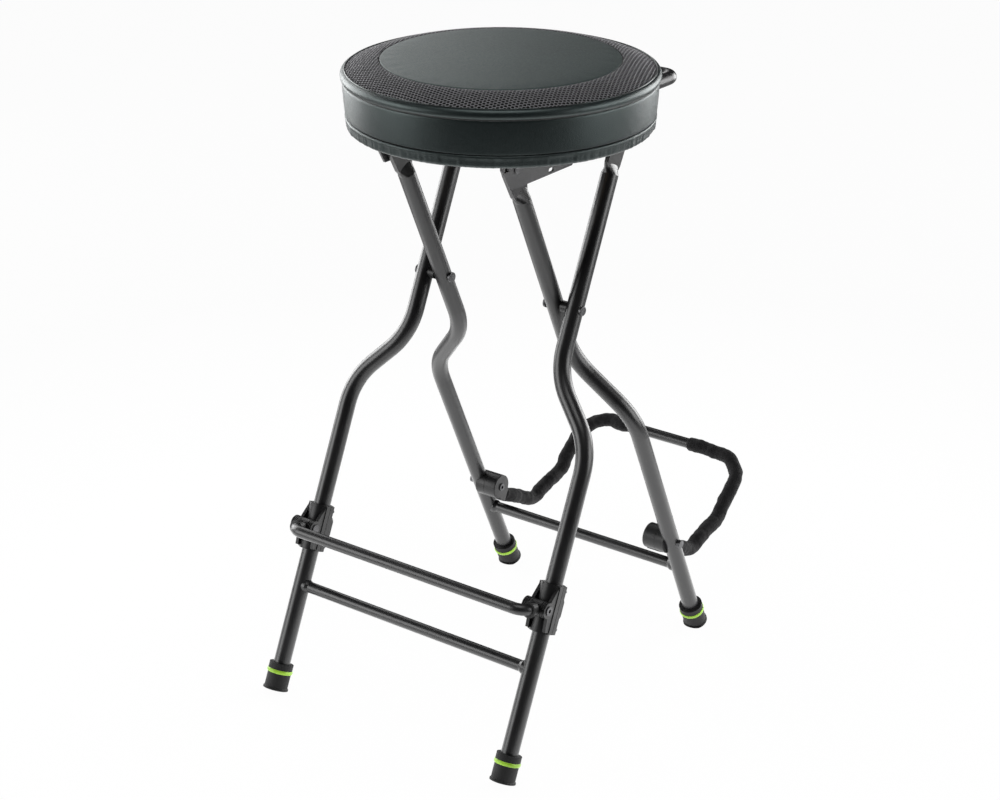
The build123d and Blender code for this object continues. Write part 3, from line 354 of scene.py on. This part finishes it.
# Seat cover
# Heights are above the board's underside, radii are from the seat's axis, both in millimetres
SEGMENTS = 144
CROWN = 67.0
PANEL_R, PANEL_UP = 126.0, 63.8
EDGE_R, EDGE_UP = 161.8, 53.5
PANEL_RINGS = 0.5, 9, 20, 32, 44, 56, 68, 80, 91, 101, 110, 117, 122, 124.6
PANEL_LIP = PANEL_R - 0.1, PANEL_UP - 0.4
PANEL_SEAM = PANEL_R + 0.5, PANEL_UP - 1.5
PANEL_CURVE = (PANEL_R ** 2 + (CROWN - PANEL_UP) ** 2) / (2 * (CROWN - PANEL_UP))
MESH_FROM_R, MESH_TO_R = PANEL_R + 1.2, EDGE_R - 0.6
MESH_DROP, MESH_BELLY, MESH_STEPS = 0.2, 1.1, 10
EDGE_SEAM = EDGE_R - 0.2, EDGE_UP - 1.0
ROLL_R, ROLL_UP, ROLL_WIDE, ROLL_TALL, ROLL_STEPS = 162.5, 48.2, 4.4, 5.4, 11
ROLL_FROM, ROLL_SWEEP, ROLL_SEAM = 98, 160, (163.9, 42.8)
BAND_R, BAND_UP, BAND_TALL, BAND_STEPS = 164.9, 42.2, 34.6, 10
BAND_TAPER, BAND_BELLY, BAND_SEAM = 2.4, 0.3, (161.6, 7.2)
BOARD_TOP, BOARD_R = 12.0, 154.05

# How far the cloth simulation may move each zone of the cover, in millimetres
CAPS = {"panel": 0.35, "mesh": 0.9, "roll": 0.7, "band": 0.8, "seam": 0.0}
# The blank that the simulation starts from is a little narrower and lower than the finished cover
BLANK_SHARE, BLANK_DOWN, SWELL_FRAMES = 0.998, 0.4, 20


def panel_height(r):
    """Height of the shallow dome of the centre panel."""
    return CROWN - PANEL_CURVE + sqrt(PANEL_CURVE ** 2 - r * r)


def profile():
    """Outline of the finished cover from the crown out and down: (radius, height, zone)."""
    points = [(r, panel_height(r), "panel") for r in PANEL_RINGS]
    points += [(*PANEL_LIP, "panel"), (*PANEL_SEAM, "seam")]
    for i in range(1, MESH_STEPS + 1):
        t = i / MESH_STEPS
        height = PANEL_UP - MESH_DROP + (EDGE_UP - PANEL_UP) * t + MESH_BELLY * sin(pi * t)
        points.append((MESH_FROM_R + (MESH_TO_R - MESH_FROM_R) * t, height, "mesh"))
    points.append((*EDGE_SEAM, "seam"))
    for i in range(ROLL_STEPS + 1):
        a = radians(ROLL_FROM - ROLL_SWEEP * i / ROLL_STEPS)
        points.append((ROLL_R + ROLL_WIDE * cos(a), ROLL_UP + ROLL_TALL * sin(a), "roll"))
    points.append((*ROLL_SEAM, "seam"))
    for i in range(BAND_STEPS + 1):
        t = i / BAND_STEPS
        r = BAND_R - BAND_TAPER * t + BAND_BELLY * sin(pi * t)
        points.append((r, BAND_UP - BAND_TALL * t, "band"))
    points.append((*BAND_SEAM, "seam"))
    return points


def swell(points):
    """Presses the cover outwards from inside with a cloth simulation, held at its seams."""
    rings = len(points)
    spots = []
    for r, z, zone in points:
        share = 1 if zone == "seam" else BLANK_SHARE
        spots += [around(r * share, angle, BOARD_Z + z - BLANK_DOWN) for angle in angles(SEGMENTS)]
    spots.append((0, SEAT_Y, BOARD_Z + BAND_SEAM[1]))
    faces = flipped(ring_faces(rings, SEGMENTS))
    last = (rings - 1) * SEGMENTS
    faces += [(last + j, last + (j + 1) % SEGMENTS, len(spots) - 1) for j in range(SEGMENTS)]
    faces.append(tuple(range(SEGMENTS)))
    blank = new_mesh("cover_blank", spots, faces)
    held = blank.vertex_groups.new(name="held")
    for i, (r, z, zone) in enumerate(points):
        if zone == "seam":
            held.add(list(range(i * SEGMENTS, (i + 1) * SEGMENTS)), 1.0, "REPLACE")
    held.add([len(spots) - 1], 1.0, "REPLACE")
    cloth = blank.modifiers.new("swell", "CLOTH")
    cloth.settings.quality = 6
    cloth.settings.mass = 0.25
    cloth.settings.tension_stiffness = 30
    cloth.settings.compression_stiffness = 30
    cloth.settings.shear_stiffness = 15
    cloth.settings.bending_stiffness = 3
    cloth.settings.use_pressure = True
    cloth.settings.uniform_pressure_force = 4
    cloth.settings.vertex_group_mass = "held"
    cloth.settings.effector_weights.gravity = 0
    cloth.collision_settings.use_collision = False
    scene = bpy.context.scene
    for step in range(1, SWELL_FRAMES + 1):
        scene.frame_set(step)
    done = blank.evaluated_get(bpy.context.evaluated_depsgraph_get())
    moved = []
    for i, vertex in enumerate(done.data.vertices[: rings * SEGMENTS]):
        start = Vector(spots[i])
        shift = vertex.co / MM - start
        cap = CAPS[points[i // SEGMENTS][2]]
        if shift.length > cap:
            shift *= cap / shift.length
        moved.append(start + shift)
    scene.frame_set(1)
    bpy.data.objects.remove(blank)
    return moved


PROFILE = profile()
COVER = swell(PROFILE)
# The rings of each zone, as indices into the profile
ZONE = {}
for index, (r, z, zone) in enumerate(PROFILE):
    if zone != "seam":
        ZONE.setdefault(zone, []).append(index)


def cover_ring(index):
    """One ring of the finished cover."""
    return [tuple(COVER[index * SEGMENTS + j]) for j in range(SEGMENTS)]


def tucked(ring, inward, down):
    """Copy of a ring moved towards the seat's axis and down, for an edge that turns in at a seam."""
    moved = []
    for x, y, z in ring:
        dx, dy = x, y - SEAT_Y
        r = hypot(dx, dy)
        k = (r - inward) / r
        moved.append((dx * k, SEAT_Y + dy * k, z - down))
    return moved


def cover_piece(name, zone, paint, node, first, last):
    """One zone of the cover with its edges turned in, given as (inward, down) steps."""
    rings = [cover_ring(i) for i in ZONE[zone]]
    front = [tucked(rings[0], *step) for step in reversed(first)]
    back = [tucked(rings[-1], *step) for step in last]
    rings = front + rings + back
    faces = flipped(ring_faces(len(rings), SEGMENTS))
    if zone == "panel":
        faces.append(tuple(range(SEGMENTS)))
    piece = make_piece(name, joined(rings), faces, [paint], "seat")
    soften(piece)
    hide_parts(node)
    return piece


centre = cover_piece("centre_panel", "panel", LIT_CENTRE_LEATHER, "seat_centre_panel",
                     first=(), last=((0.1, 0.6), (1.0, 1.6)))
roll = cover_piece("edge_roll", "roll", SIDE, "seat_edge_roll",
                   first=((0.8, 0.6), (1.6, 2.0)), last=((0.7, 0.3), (2.0, 0.6)))
band = cover_piece("side_band", "band", SIDE, "seat_side_band",
                   first=((0.5, -0.3), (2.0, -0.5)), last=((0.35, 0.2), (2.2, 0.25)))


def mesh_height(r, angle):
    """Height of the simulated cover over the mesh zone at a radius and an angle."""
    rings = ZONE["mesh"]
    radii = [PROFILE[i][0] for i in rings]
    r = min(max(r, radii[0]), radii[-1])
    low = max(i for i in range(len(radii)) if radii[i] <= r)
    high = min(low + 1, len(radii) - 1)
    t = 0 if high == low else (r - radii[low]) / (radii[high] - radii[low])
    turn = (angle / (2 * pi) * SEGMENTS) % SEGMENTS
    j = int(turn)
    f = turn - j
    total = 0
    for index, weight in ((rings[low], 1 - t), (rings[high], t)):
        a = COVER[index * SEGMENTS + j % SEGMENTS].z
        b = COVER[index * SEGMENTS + (j + 1) % SEGMENTS].z
        total += weight * (a * (1 - f) + b * f)
    return total


# Mesh: the holes' distance, radius and depth, the distance of their rows as a share of the pitch,
# the rows' slant, and the radii that the cloth is cut to
HOLE_PITCH, HOLE_R, HOLE_DEEP, ROW_SHARE = 4.1, 1.85, 2.2, 0.866
HOLE_TURN, HOLE_CORNERS = radians(-5), 6
MESH_LOW_R, MESH_HIGH_R, MESH_MARGIN = PANEL_R + 0.4, EDGE_R - 0.3, 2.0
# Each hole's rings from its border down: (radius, drop)
HOLE_RINGS = (
    (HOLE_PITCH / sqrt(3), 0.0), (HOLE_R * 1.14, -0.1), (HOLE_R, 0.35), (HOLE_R * 0.96, HOLE_DEEP),
)
BACKING_LOW_R, BACKING_HIGH_R, BACKING_LIFT, BACKING_STEPS = PANEL_R, EDGE_R - 0.5, 0.1, 6


def mesh_hole(u, v):
    """Points of one hexagonal hole at a place in the cloth's own rows, laid on the cover."""
    cell = []
    for size, drop in HOLE_RINGS:
        for k in range(HOLE_CORNERS):
            a = radians(30 + 360 / HOLE_CORNERS * k)
            x, y = u + size * cos(a), v + size * sin(a)
            across = x * cos(HOLE_TURN) - y * sin(HOLE_TURN)
            along = x * sin(HOLE_TURN) + y * cos(HOLE_TURN)
            r, angle = hypot(across, along), atan2(along, across)
            r = min(max(r, MESH_LOW_R), MESH_HIGH_R)
            cell.append(around(r, angle, mesh_height(r, angle) - drop))
    return cell


def mesh_cloth():
    """Open spacer mesh: hexagonal holes in straight rows, over a backing sheet; the holes' lower walls and
    the backing are painted near-black as painted shade.
    """
    spots, faces, paints = [], [], []
    cloth, dark = 0, 1
    rows = int(MESH_HIGH_R / (HOLE_PITCH * ROW_SHARE)) + 2
    columns = int(MESH_HIGH_R / HOLE_PITCH) + 2
    for row in range(-rows, rows + 1):
        for column in range(-columns, columns + 1):
            u = (column + 0.5 * (row % 2)) * HOLE_PITCH
            v = row * HOLE_PITCH * ROW_SHARE
            if not MESH_LOW_R - MESH_MARGIN < hypot(u, v) < MESH_HIGH_R + MESH_MARGIN:
                continue
            faces += ring_faces(len(HOLE_RINGS), HOLE_CORNERS, len(spots))
            # The lowest ring of each hole takes the near-black paint: painted shade in the hole's depth.
            paints += [cloth] * 2 * HOLE_CORNERS + [dark] * HOLE_CORNERS
            spots += mesh_hole(u, v)
    base = len(spots)
    span = BACKING_HIGH_R - BACKING_LOW_R
    radii = [BACKING_LOW_R + span * i / BACKING_STEPS for i in range(BACKING_STEPS + 1)]
    for r in radii:
        spots += [around(r, a, mesh_height(r, a) - HOLE_DEEP + BACKING_LIFT) for a in angles(SEGMENTS)]
    backing = flipped(ring_faces(len(radii), SEGMENTS, base))
    faces += backing
    # The backing sheet itself is real; its near-black colour is painted shade.
    paints += [dark] * len(backing)
    piece = make_piece("mesh_ring", spots, faces, [MESH, SHADE_BLACK], "seat")
    for face, paint in zip(piece.data.polygons, paints):
        face.material_index = paint
    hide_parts("seat_mesh_ring")


mesh_cloth()


def bead_ring(name, r, height, thick, paint, wave, waves):
    """Thin rope lying round the seat, for a piped or pressed edge, a little thicker at each wave."""
    count, sides = SEGMENTS * 2, 8
    rings = []
    for angle in angles(count):
        size = thick + wave * sin(waves * angle)
        middle = BOARD_Z + height
        rings.append([around(r + size * cos(a), angle, middle + size * sin(a)) for a in angles(sides)])
    faces = []
    for j in range(count):
        n = (j + 1) % count
        for k in range(sides):
            m = (k + 1) % sides
            faces.append((j * sides + k, n * sides + k, n * sides + m, j * sides + m))
    make_piece(name, joined(rings), faces, [paint], "seat")


bead_ring("top_piping", r=161.9, height=53.5, thick=0.6, paint=PIPING, wave=0.05, waves=300)
bead_ring("roll_seam", r=164.0, height=42.8, thick=0.55, paint=THREAD, wave=0.08, waves=420)
# Painted shade: a near-black bead sunk in the groove between the band and the hem, drawn as a dark line
# where shade falls.
bead_ring("band_seam_groove_shade", r=160.0, height=6.4, thick=0.6, paint=SHADE_BLACK, wave=0.06, waves=420)


# Hem under the seat
# The hem's way from the band's seam down, round its fold and inwards under the board:
# (radius, height, share of the folds' full size)
HEM_WAY = (
    (159.4, 5.6, 0.0), (160.9, 5.4, 0.0), (161.8, 4.9, 0.1), (161.7, 4.0, 0.3), (161.1, 2.4, 0.7),
    (160.7, -0.4, 1.0), (160.4, -3.2, 1.0), (160.1, -5.0, 1.0), (159.4, -5.9, 0.9), (158.4, -5.6, 0.8),
    (157.9, -3.4, 0.6), (157.2, -1.5, 0.6), (154.5, -1.3, 0.6), (149.0, -1.2, 0.5), (143.0, -1.1, 0.45),
    (138.5, -1.0, 0.3), (137.6, -0.3, 0.2),
)
HEM_SEGMENTS, HEM_THICK = 720, 0.8
# Folds: how close they lie round the seat, and how far they push the hem out, in millimetres;
# then how far a fold lifts the hem, and how much the folds change with each millimetre of radius
LONG_FOLD, FOLD, FINE_FOLD = (9.0, 0.35), (19.0, 0.8), (52.0, 0.8)
FOLD_UP, FOLD_CHANGE = 0.3, 0.002


def hem_point(r, up, loose, angle):
    """One point of the hem, pushed out by its folds and kept clear of the handle's tubes."""
    turned = Vector((cos(angle), sin(angle), FOLD_CHANGE * r))
    long_fold = noise.noise(turned * LONG_FOLD[0])
    fold = noise.noise(turned * FOLD[0] + Vector((3, 1, 0)))
    fine = noise.noise(turned * FINE_FOLD[0])
    out = (long_fold * LONG_FOLD[1] + fold * FOLD[1] + fine * FINE_FOLD[1]) * loose
    x, y, z = around(r + out, angle, up + fold * FOLD_UP * loose)
    aside = abs(abs(x) - HANDLE_HALF)
    if y > SEAT_Y and aside < HANDLE_ROOM:
        z = max(z, HANDLE_UP + sqrt(HANDLE_ROOM ** 2 - aside ** 2))
    return (x, y, BOARD_Z + z)


def hem():
    """Gathered hem: puckers that run down from the band's seam and turn up under the board."""
    spots = [hem_point(*place, angle) for place in HEM_WAY for angle in angles(HEM_SEGMENTS)]
    faces = ring_faces(len(HEM_WAY), HEM_SEGMENTS)
    piece = make_piece("gathered_hem", spots, faces, [HEM], "seat")
    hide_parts("seat_cover_skirt")
    thick = piece.modifiers.new("thickness", "SOLIDIFY")
    thick.thickness = HEM_THICK * MM
    thick.offset = -1


hem()


# Staples: how many, their distance from the seat's axis, half their length and half the wire's width
STAPLES, STAPLE_R, STAPLE_HALF, WIRE_HALF = 54, 141.5, 5.2, 0.5
# The wire's upper and lower side below the board, and the half width that the handle keeps free
WIRE_HIGH, WIRE_LOW, FREE_HALF = 0.9, 1.9, 56
# How far a staple strays, as a share of the distance between two, and how far it slants, in radians
STRAY, SLANT = 0.3, 0.25


def staples():
    """Wire staples that hold the hem to the board, each a little off its place and slant."""
    spots, faces = [], []
    wire = ((-WIRE_HALF, WIRE_HIGH), (WIRE_HALF, WIRE_HIGH), (WIRE_HALF, WIRE_LOW), (-WIRE_HALF, WIRE_LOW))
    for j in range(STAPLES):
        angle = 2 * pi * (j + STRAY * noise.noise(Vector((j * 0.7, 2, 5)))) / STAPLES
        tilt = angle + pi / 2 + SLANT * noise.noise(Vector((j * 1.3, 7, 1)))
        x, y, z = around(STAPLE_R, angle, BOARD_Z)
        if abs(x) < FREE_HALF and y > 0:
            continue
        base = len(spots)
        for along in (-STAPLE_HALF, STAPLE_HALF):
            for across, drop in wire:
                to_x = x + along * cos(tilt) - across * sin(tilt)
                to_y = y + along * sin(tilt) + across * cos(tilt)
                spots.append((to_x, to_y, z - drop))
        faces += ring_faces(2, len(wire), base)
        faces += [(base, base + 3, base + 2, base + 1), (base + 4, base + 5, base + 6, base + 7)]
    make_piece("hem_staples", spots, faces, [STAPLE], "seat", smooth=False)


staples()


# How far the foam lies inside the cover in each zone: (inward, down)
CORE_INSET = {"panel": (0.0, 2.6), "mesh": (0.0, 2.6), "roll": (2.2, 0.6), "band": (2.2, 0.6)}
# The foam's lower outline, round the board's edge and over its top: (radius, height)
CORE_WAY = (
    (160.0, 7.4), (156.3, 6.4), (156.3, 0.2), (154.1, 0.2), (BOARD_R, BOARD_TOP), (20.0, BOARD_TOP),
)


def core():
    """Cushion foam: closed body just inside the cover."""
    inner = []
    for index, (r, z, zone) in enumerate(PROFILE):
        if zone != "seam" and r > PANEL_RINGS[0]:
            inner.append(tucked(cover_ring(index), *CORE_INSET[zone]))
    for r, up in CORE_WAY:
        inner.append([around(r, angle, BOARD_Z + up) for angle in angles(SEGMENTS)])
    faces = flipped(ring_faces(len(inner), SEGMENTS))
    faces.append(tuple(range(SEGMENTS)))
    last = (len(inner) - 1) * SEGMENTS
    faces.append(tuple(reversed(range(last, last + SEGMENTS))))
    piece = make_piece("cushion_core", joined(inner), faces, [CORE], "seat")
    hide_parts("seat_foam")


core()


# Foam sleeves of the yoke
# The yoke's corners from its hinge, in millimetres: sideways to the arm, then (y, z) of the places
# where the arm leaves the hinge, dips, levels and ends, and how far inwards the sleeve reaches
ARM_ASIDE, ARM_ROOT, ARM_DIP = 115.5, (6.0, -12.0), (75.8, -48.0)
ARM_MIDDLE, ARM_END = (138.0, -31.0), (197.8, 24.0)
ARM_BENDS = 26.0, 30.0, 38.0
SLEEVE_START, SLEEVE_END_ASIDE, SLEEVE_STEP, SLEEVE_SIDES = 8.0, 36.0, 1.6, 28
# The foam's radius, its least way from the tube's axis, its end's hole, and its rounded rim
FOAM_R, FOAM_LEAST, FOAM_HOLE, RIM_LONG, RIM_SHARE, RIM_RISE = 8.6, 7.0, 6.3, 2.4, 0.80, 0.2
# Lumps of three sizes: how close they lie along the foam and round it, how high they are, and how
# far apart the two sleeves read the noise
FOAM_LUMPS = (0.055, 0.35, 0.7, 3), (0.16, 1.1, 0.9, 0), (0.55, 2.6, 0.2, 0)
# Creases inside the bends: depth, how they follow each other, and the least bend that has them
CREASE, CREASE_PACE, CREASE_BEND = 0.2, 1.9, 0.01
# How far the foam drifts off the tube, how fast that changes, over which length it starts, and
# where the sleeves and the drift's three directions read the noise, so that they differ
DRIFT, DRIFT_PACE, DRIFT_START, DRIFT_SIDE = 1.9, 0.05, 12, 5
DRIFT_APART = Vector((0, 0, 0)), Vector((31.3, 7.7, 2.1)), Vector((5.9, 19.4, 53.6))


def rounded_path(corners, radii, step):
    """Points along straight runs joined by arcs, a step apart, with their directions."""
    path = []
    start = corners[0]
    for i in range(1, len(corners) - 1):
        before = (corners[i] - corners[i - 1]).normalized()
        after = (corners[i + 1] - corners[i]).normalized()
        turn = before.angle(after)
        back = radii[i - 1] * (1 / cos(turn / 2) ** 2 - 1) ** 0.5
        enter = corners[i] - before * back
        run = (enter - start).length
        for k in range(int(run / step)):
            path.append((start + before * (k * step), before))
        normal = (after - before * before.dot(after)).normalized()
        count = max(4, int(radii[i - 1] * turn / step))
        for k in range(count):
            a = turn * k / count
            spot = enter + before * (radii[i - 1] * sin(a)) + normal * (radii[i - 1] * (1 - cos(a)))
            path.append((spot, before * cos(a) + normal * sin(a)))
        start = corners[i] + after * back
    run = (corners[-1] - start).length
    ahead = (corners[-1] - start).normalized()
    for k in range(int(run / step) + 1):
        path.append((start + ahead * min(run, k * step), ahead))
    path.append((corners[-1], ahead))
    return path


def foam_path(sign):
    """The sleeve's way over the yoke's tube on one side."""
    arm = YOKE_HINGE + Vector((sign * ARM_ASIDE, 0, 0))
    root, dip, middle, end = (Vector((0, *place)) for place in (ARM_ROOT, ARM_DIP, ARM_MIDDLE, ARM_END))
    start = arm + root + (dip - root).normalized() * SLEEVE_START
    inner = YOKE_HINGE + Vector((sign * SLEEVE_END_ASIDE, *ARM_END))
    return rounded_path([start, arm + dip, arm + middle, arm + end, inner], ARM_BENDS, SLEEVE_STEP)


def foam_radius(spot, out, sign, bend, i):
    """The foam's radius at one point, with its lumps, and with creases inside the bends."""
    r = FOAM_R
    for along, aside, size, apart in FOAM_LUMPS:
        r += size * noise.noise(spot * along + out * aside + Vector((sign * apart, 0, 0)))
    if bend.length > CREASE_BEND:
        inside = max(0.0, out.dot(bend.normalized()))
        r += inside * (CREASE * sin(i * CREASE_PACE) - CREASE)
    return r


def rim_share(end):
    """How far the foam has swollen to its full radius at a length from its end."""
    if end > RIM_LONG:
        return 1.0
    return RIM_SHARE + RIM_RISE * sqrt(max(0.0, 1 - (1 - end / RIM_LONG) ** 2))


def foam_sleeve(name, sign, node):
    """Foam tube pulled over the yoke: slightly lumpy, creased inside its bends, rounded at its ends."""
    path = foam_path(sign)
    sides = SLEEVE_SIDES
    spots = []
    last = len(path) - 1
    side = Vector((1, 0, 0))
    previous = path[0][1]
    for i, (spot, ahead) in enumerate(path):
        side = (side - ahead * side.dot(ahead)).normalized()
        up = ahead.cross(side)
        place = spot * DRIFT_PACE + Vector((sign * DRIFT_SIDE, 0, 0))
        drift = Vector([noise.noise(place + apart) for apart in DRIFT_APART]) * DRIFT
        drift -= ahead * drift.dot(ahead)
        bend = ahead - previous
        previous = ahead
        end = min(i, last - i) * SLEEVE_STEP
        for a in angles(sides):
            out = side * cos(a) + up * sin(a)
            r = foam_radius(spot, out, sign, bend, i)
            away = out * (r * rim_share(end)) + drift * min(1.0, end / DRIFT_START)
            spots.append(spot + away * max(1.0, FOAM_LEAST / away.length))
    faces = ring_faces(len(path), sides)
    for ring in (0, last):
        base = len(spots)
        where = path[ring][0]
        for k in range(sides):
            rim = spots[ring * sides + k] - where
            spots.append(where + rim.normalized() * FOAM_HOLE)
        for k in range(sides):
            m = (k + 1) % sides
            quad = (ring * sides + k, base + k, base + m, ring * sides + m)
            faces.append(quad if ring == 0 else tuple(reversed(quad)))
    piece = make_piece(name, spots, faces, [FOAM], "guitar_yoke")
    soften(piece)
    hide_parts(node)


foam_sleeve("foam_sleeve_left", -1, "yoke_sleeve_left")
foam_sleeve("foam_sleeve_right", 1, "yoke_sleeve_right")


# Floor, light and camera
FLOOR_HALF = 9000.0
# Painted light: the floor's colour falls from near to far of the stool as a painted pool of light, between
# two ways from its middle in metres
NEAR_POOL_LIGHT, FAR_POOL_DARK, NEAR, FAR = (0.8, 0.8, 0.8), (0.15, 0.15, 0.15), 0.6, 1.2
WHITE = (1, 1, 1, 1)
CAMERA_SHARE, SURROUND = 0.97, 0.01
# Soft panels of light, in metres and watts: (name, place, size, power)
PANELS = (
    ("top_panel", (0.3, -0.5, 2.1), 1.1, 15),
    ("left_panel", (-1.35, -1.7, 0.75), 1.3, 30),
    ("far_left_panel", (-2.3, 0.15, 0.8), 1.6, 56),
    ("rear_left_panel", (-2.2, 1.5, 1.75), 1.5, 18),
    ("right_panel", (2.1, 0.75, 0.75), 1.4, 34),
    ("rear_panel", (0.8, 2.4, 0.7), 1.6, 66),
    ("floor_glow", (0.0, -0.05, 0.002), 1.3, 7),
)
LIT_PLACE = Vector((0, -0.05, 0.4))
CAMERA_PLACE, CAMERA_AZIMUTH, CAMERA_ELEVATION = (1.330, -1.8608, 1.2885), 36.52, 23.31
LENS, SENSOR = 79.64, 36.0


def pale_floor():
    """Floor that keeps the stool's shadow and reads nearly white to the camera."""
    half = FLOOR_HALF
    corners = [(-half, -half, 0), (half, -half, 0), (half, half, 0), (-half, half, 0)]
    floor = new_mesh("floor", corners, [(0, 1, 2, 3)])
    pale = Paint("pale_floor", (0.45, 0.45, 0.45), 0.9)
    away = pale.nodes.new("ShaderNodeVectorMath")
    away.operation = "LENGTH"
    pale.join(pale.place, away.inputs[0])
    # Painted light: bright floor colour near the stool that fades to dark further out, seen mostly in
    # bounce and reflections.
    pale.color(pale.mix(pale.ramp(away.outputs["Value"], low=NEAR, high=FAR), NEAR_POOL_LIGHT, FAR_POOL_DARK))
    glow = pale.nodes.new("ShaderNodeEmission")
    glow.inputs["Color"].default_value = WHITE
    glow.inputs["Strength"].default_value = 1.0
    rays = pale.nodes.new("ShaderNodeLightPath")
    blend = pale.nodes.new("ShaderNodeMixShader")
    share = pale.combine("MULTIPLY", rays.outputs["Is Camera Ray"], CAMERA_SHARE)
    pale.join(share, blend.inputs[0])
    pale.join(pale.shader.outputs[0], blend.inputs[1])
    pale.join(glow.outputs[0], blend.inputs[2])
    pale.join(blend.outputs[0], pale.nodes["Material Output"].inputs["Surface"])
    floor.data.materials.append(pale.mat)


def white_surround():
    """World that is white to the camera and nearly dark to the stool."""
    world = bpy.data.worlds.new("white_surround")
    bpy.context.scene.world = world
    world.use_nodes = True
    nodes, links = world.node_tree.nodes, world.node_tree.links
    back = nodes["Background"]
    seen = nodes.new("ShaderNodeBackground")
    rays = nodes.new("ShaderNodeLightPath")
    mixer = nodes.new("ShaderNodeMixShader")
    back.inputs["Color"].default_value = WHITE
    back.inputs["Strength"].default_value = SURROUND
    seen.inputs["Color"].default_value = WHITE
    seen.inputs["Strength"].default_value = 1.0
    links.new(rays.outputs["Is Camera Ray"], mixer.inputs[0])
    links.new(back.outputs[0], mixer.inputs[1])
    links.new(seen.outputs[0], mixer.inputs[2])
    links.new(mixer.outputs[0], nodes["World Output"].inputs["Surface"])


def soft_panels():
    """Square lamps that face the stool and stay out of the camera's sight."""
    for name, spot, size, power in PANELS:
        light = bpy.data.lights.new(name, "AREA")
        light.shape = "SQUARE"
        light.size = size
        light.energy = power
        lamp = bpy.data.objects.new(name, light)
        bpy.context.collection.objects.link(lamp)
        lamp.location = spot
        lamp.visible_camera = False
        lamp.rotation_euler = (LIT_PLACE - Vector(spot)).to_track_quat("-Z", "Y").to_euler()


def photo_camera():
    """Camera at the photograph's angle."""
    lens = bpy.data.cameras.new("camera")
    lens.lens = LENS
    lens.sensor_width = SENSOR
    camera = bpy.data.objects.new("camera", lens)
    bpy.context.collection.objects.link(camera)
    camera.location = CAMERA_PLACE
    camera.rotation_euler = (radians(90 - CAMERA_ELEVATION), 0, radians(CAMERA_AZIMUTH))
    bpy.context.scene.camera = camera


pale_floor()
white_surround()
soft_panels()
photo_camera()
bpy.context.scene.view_settings.view_transform = "Standard"
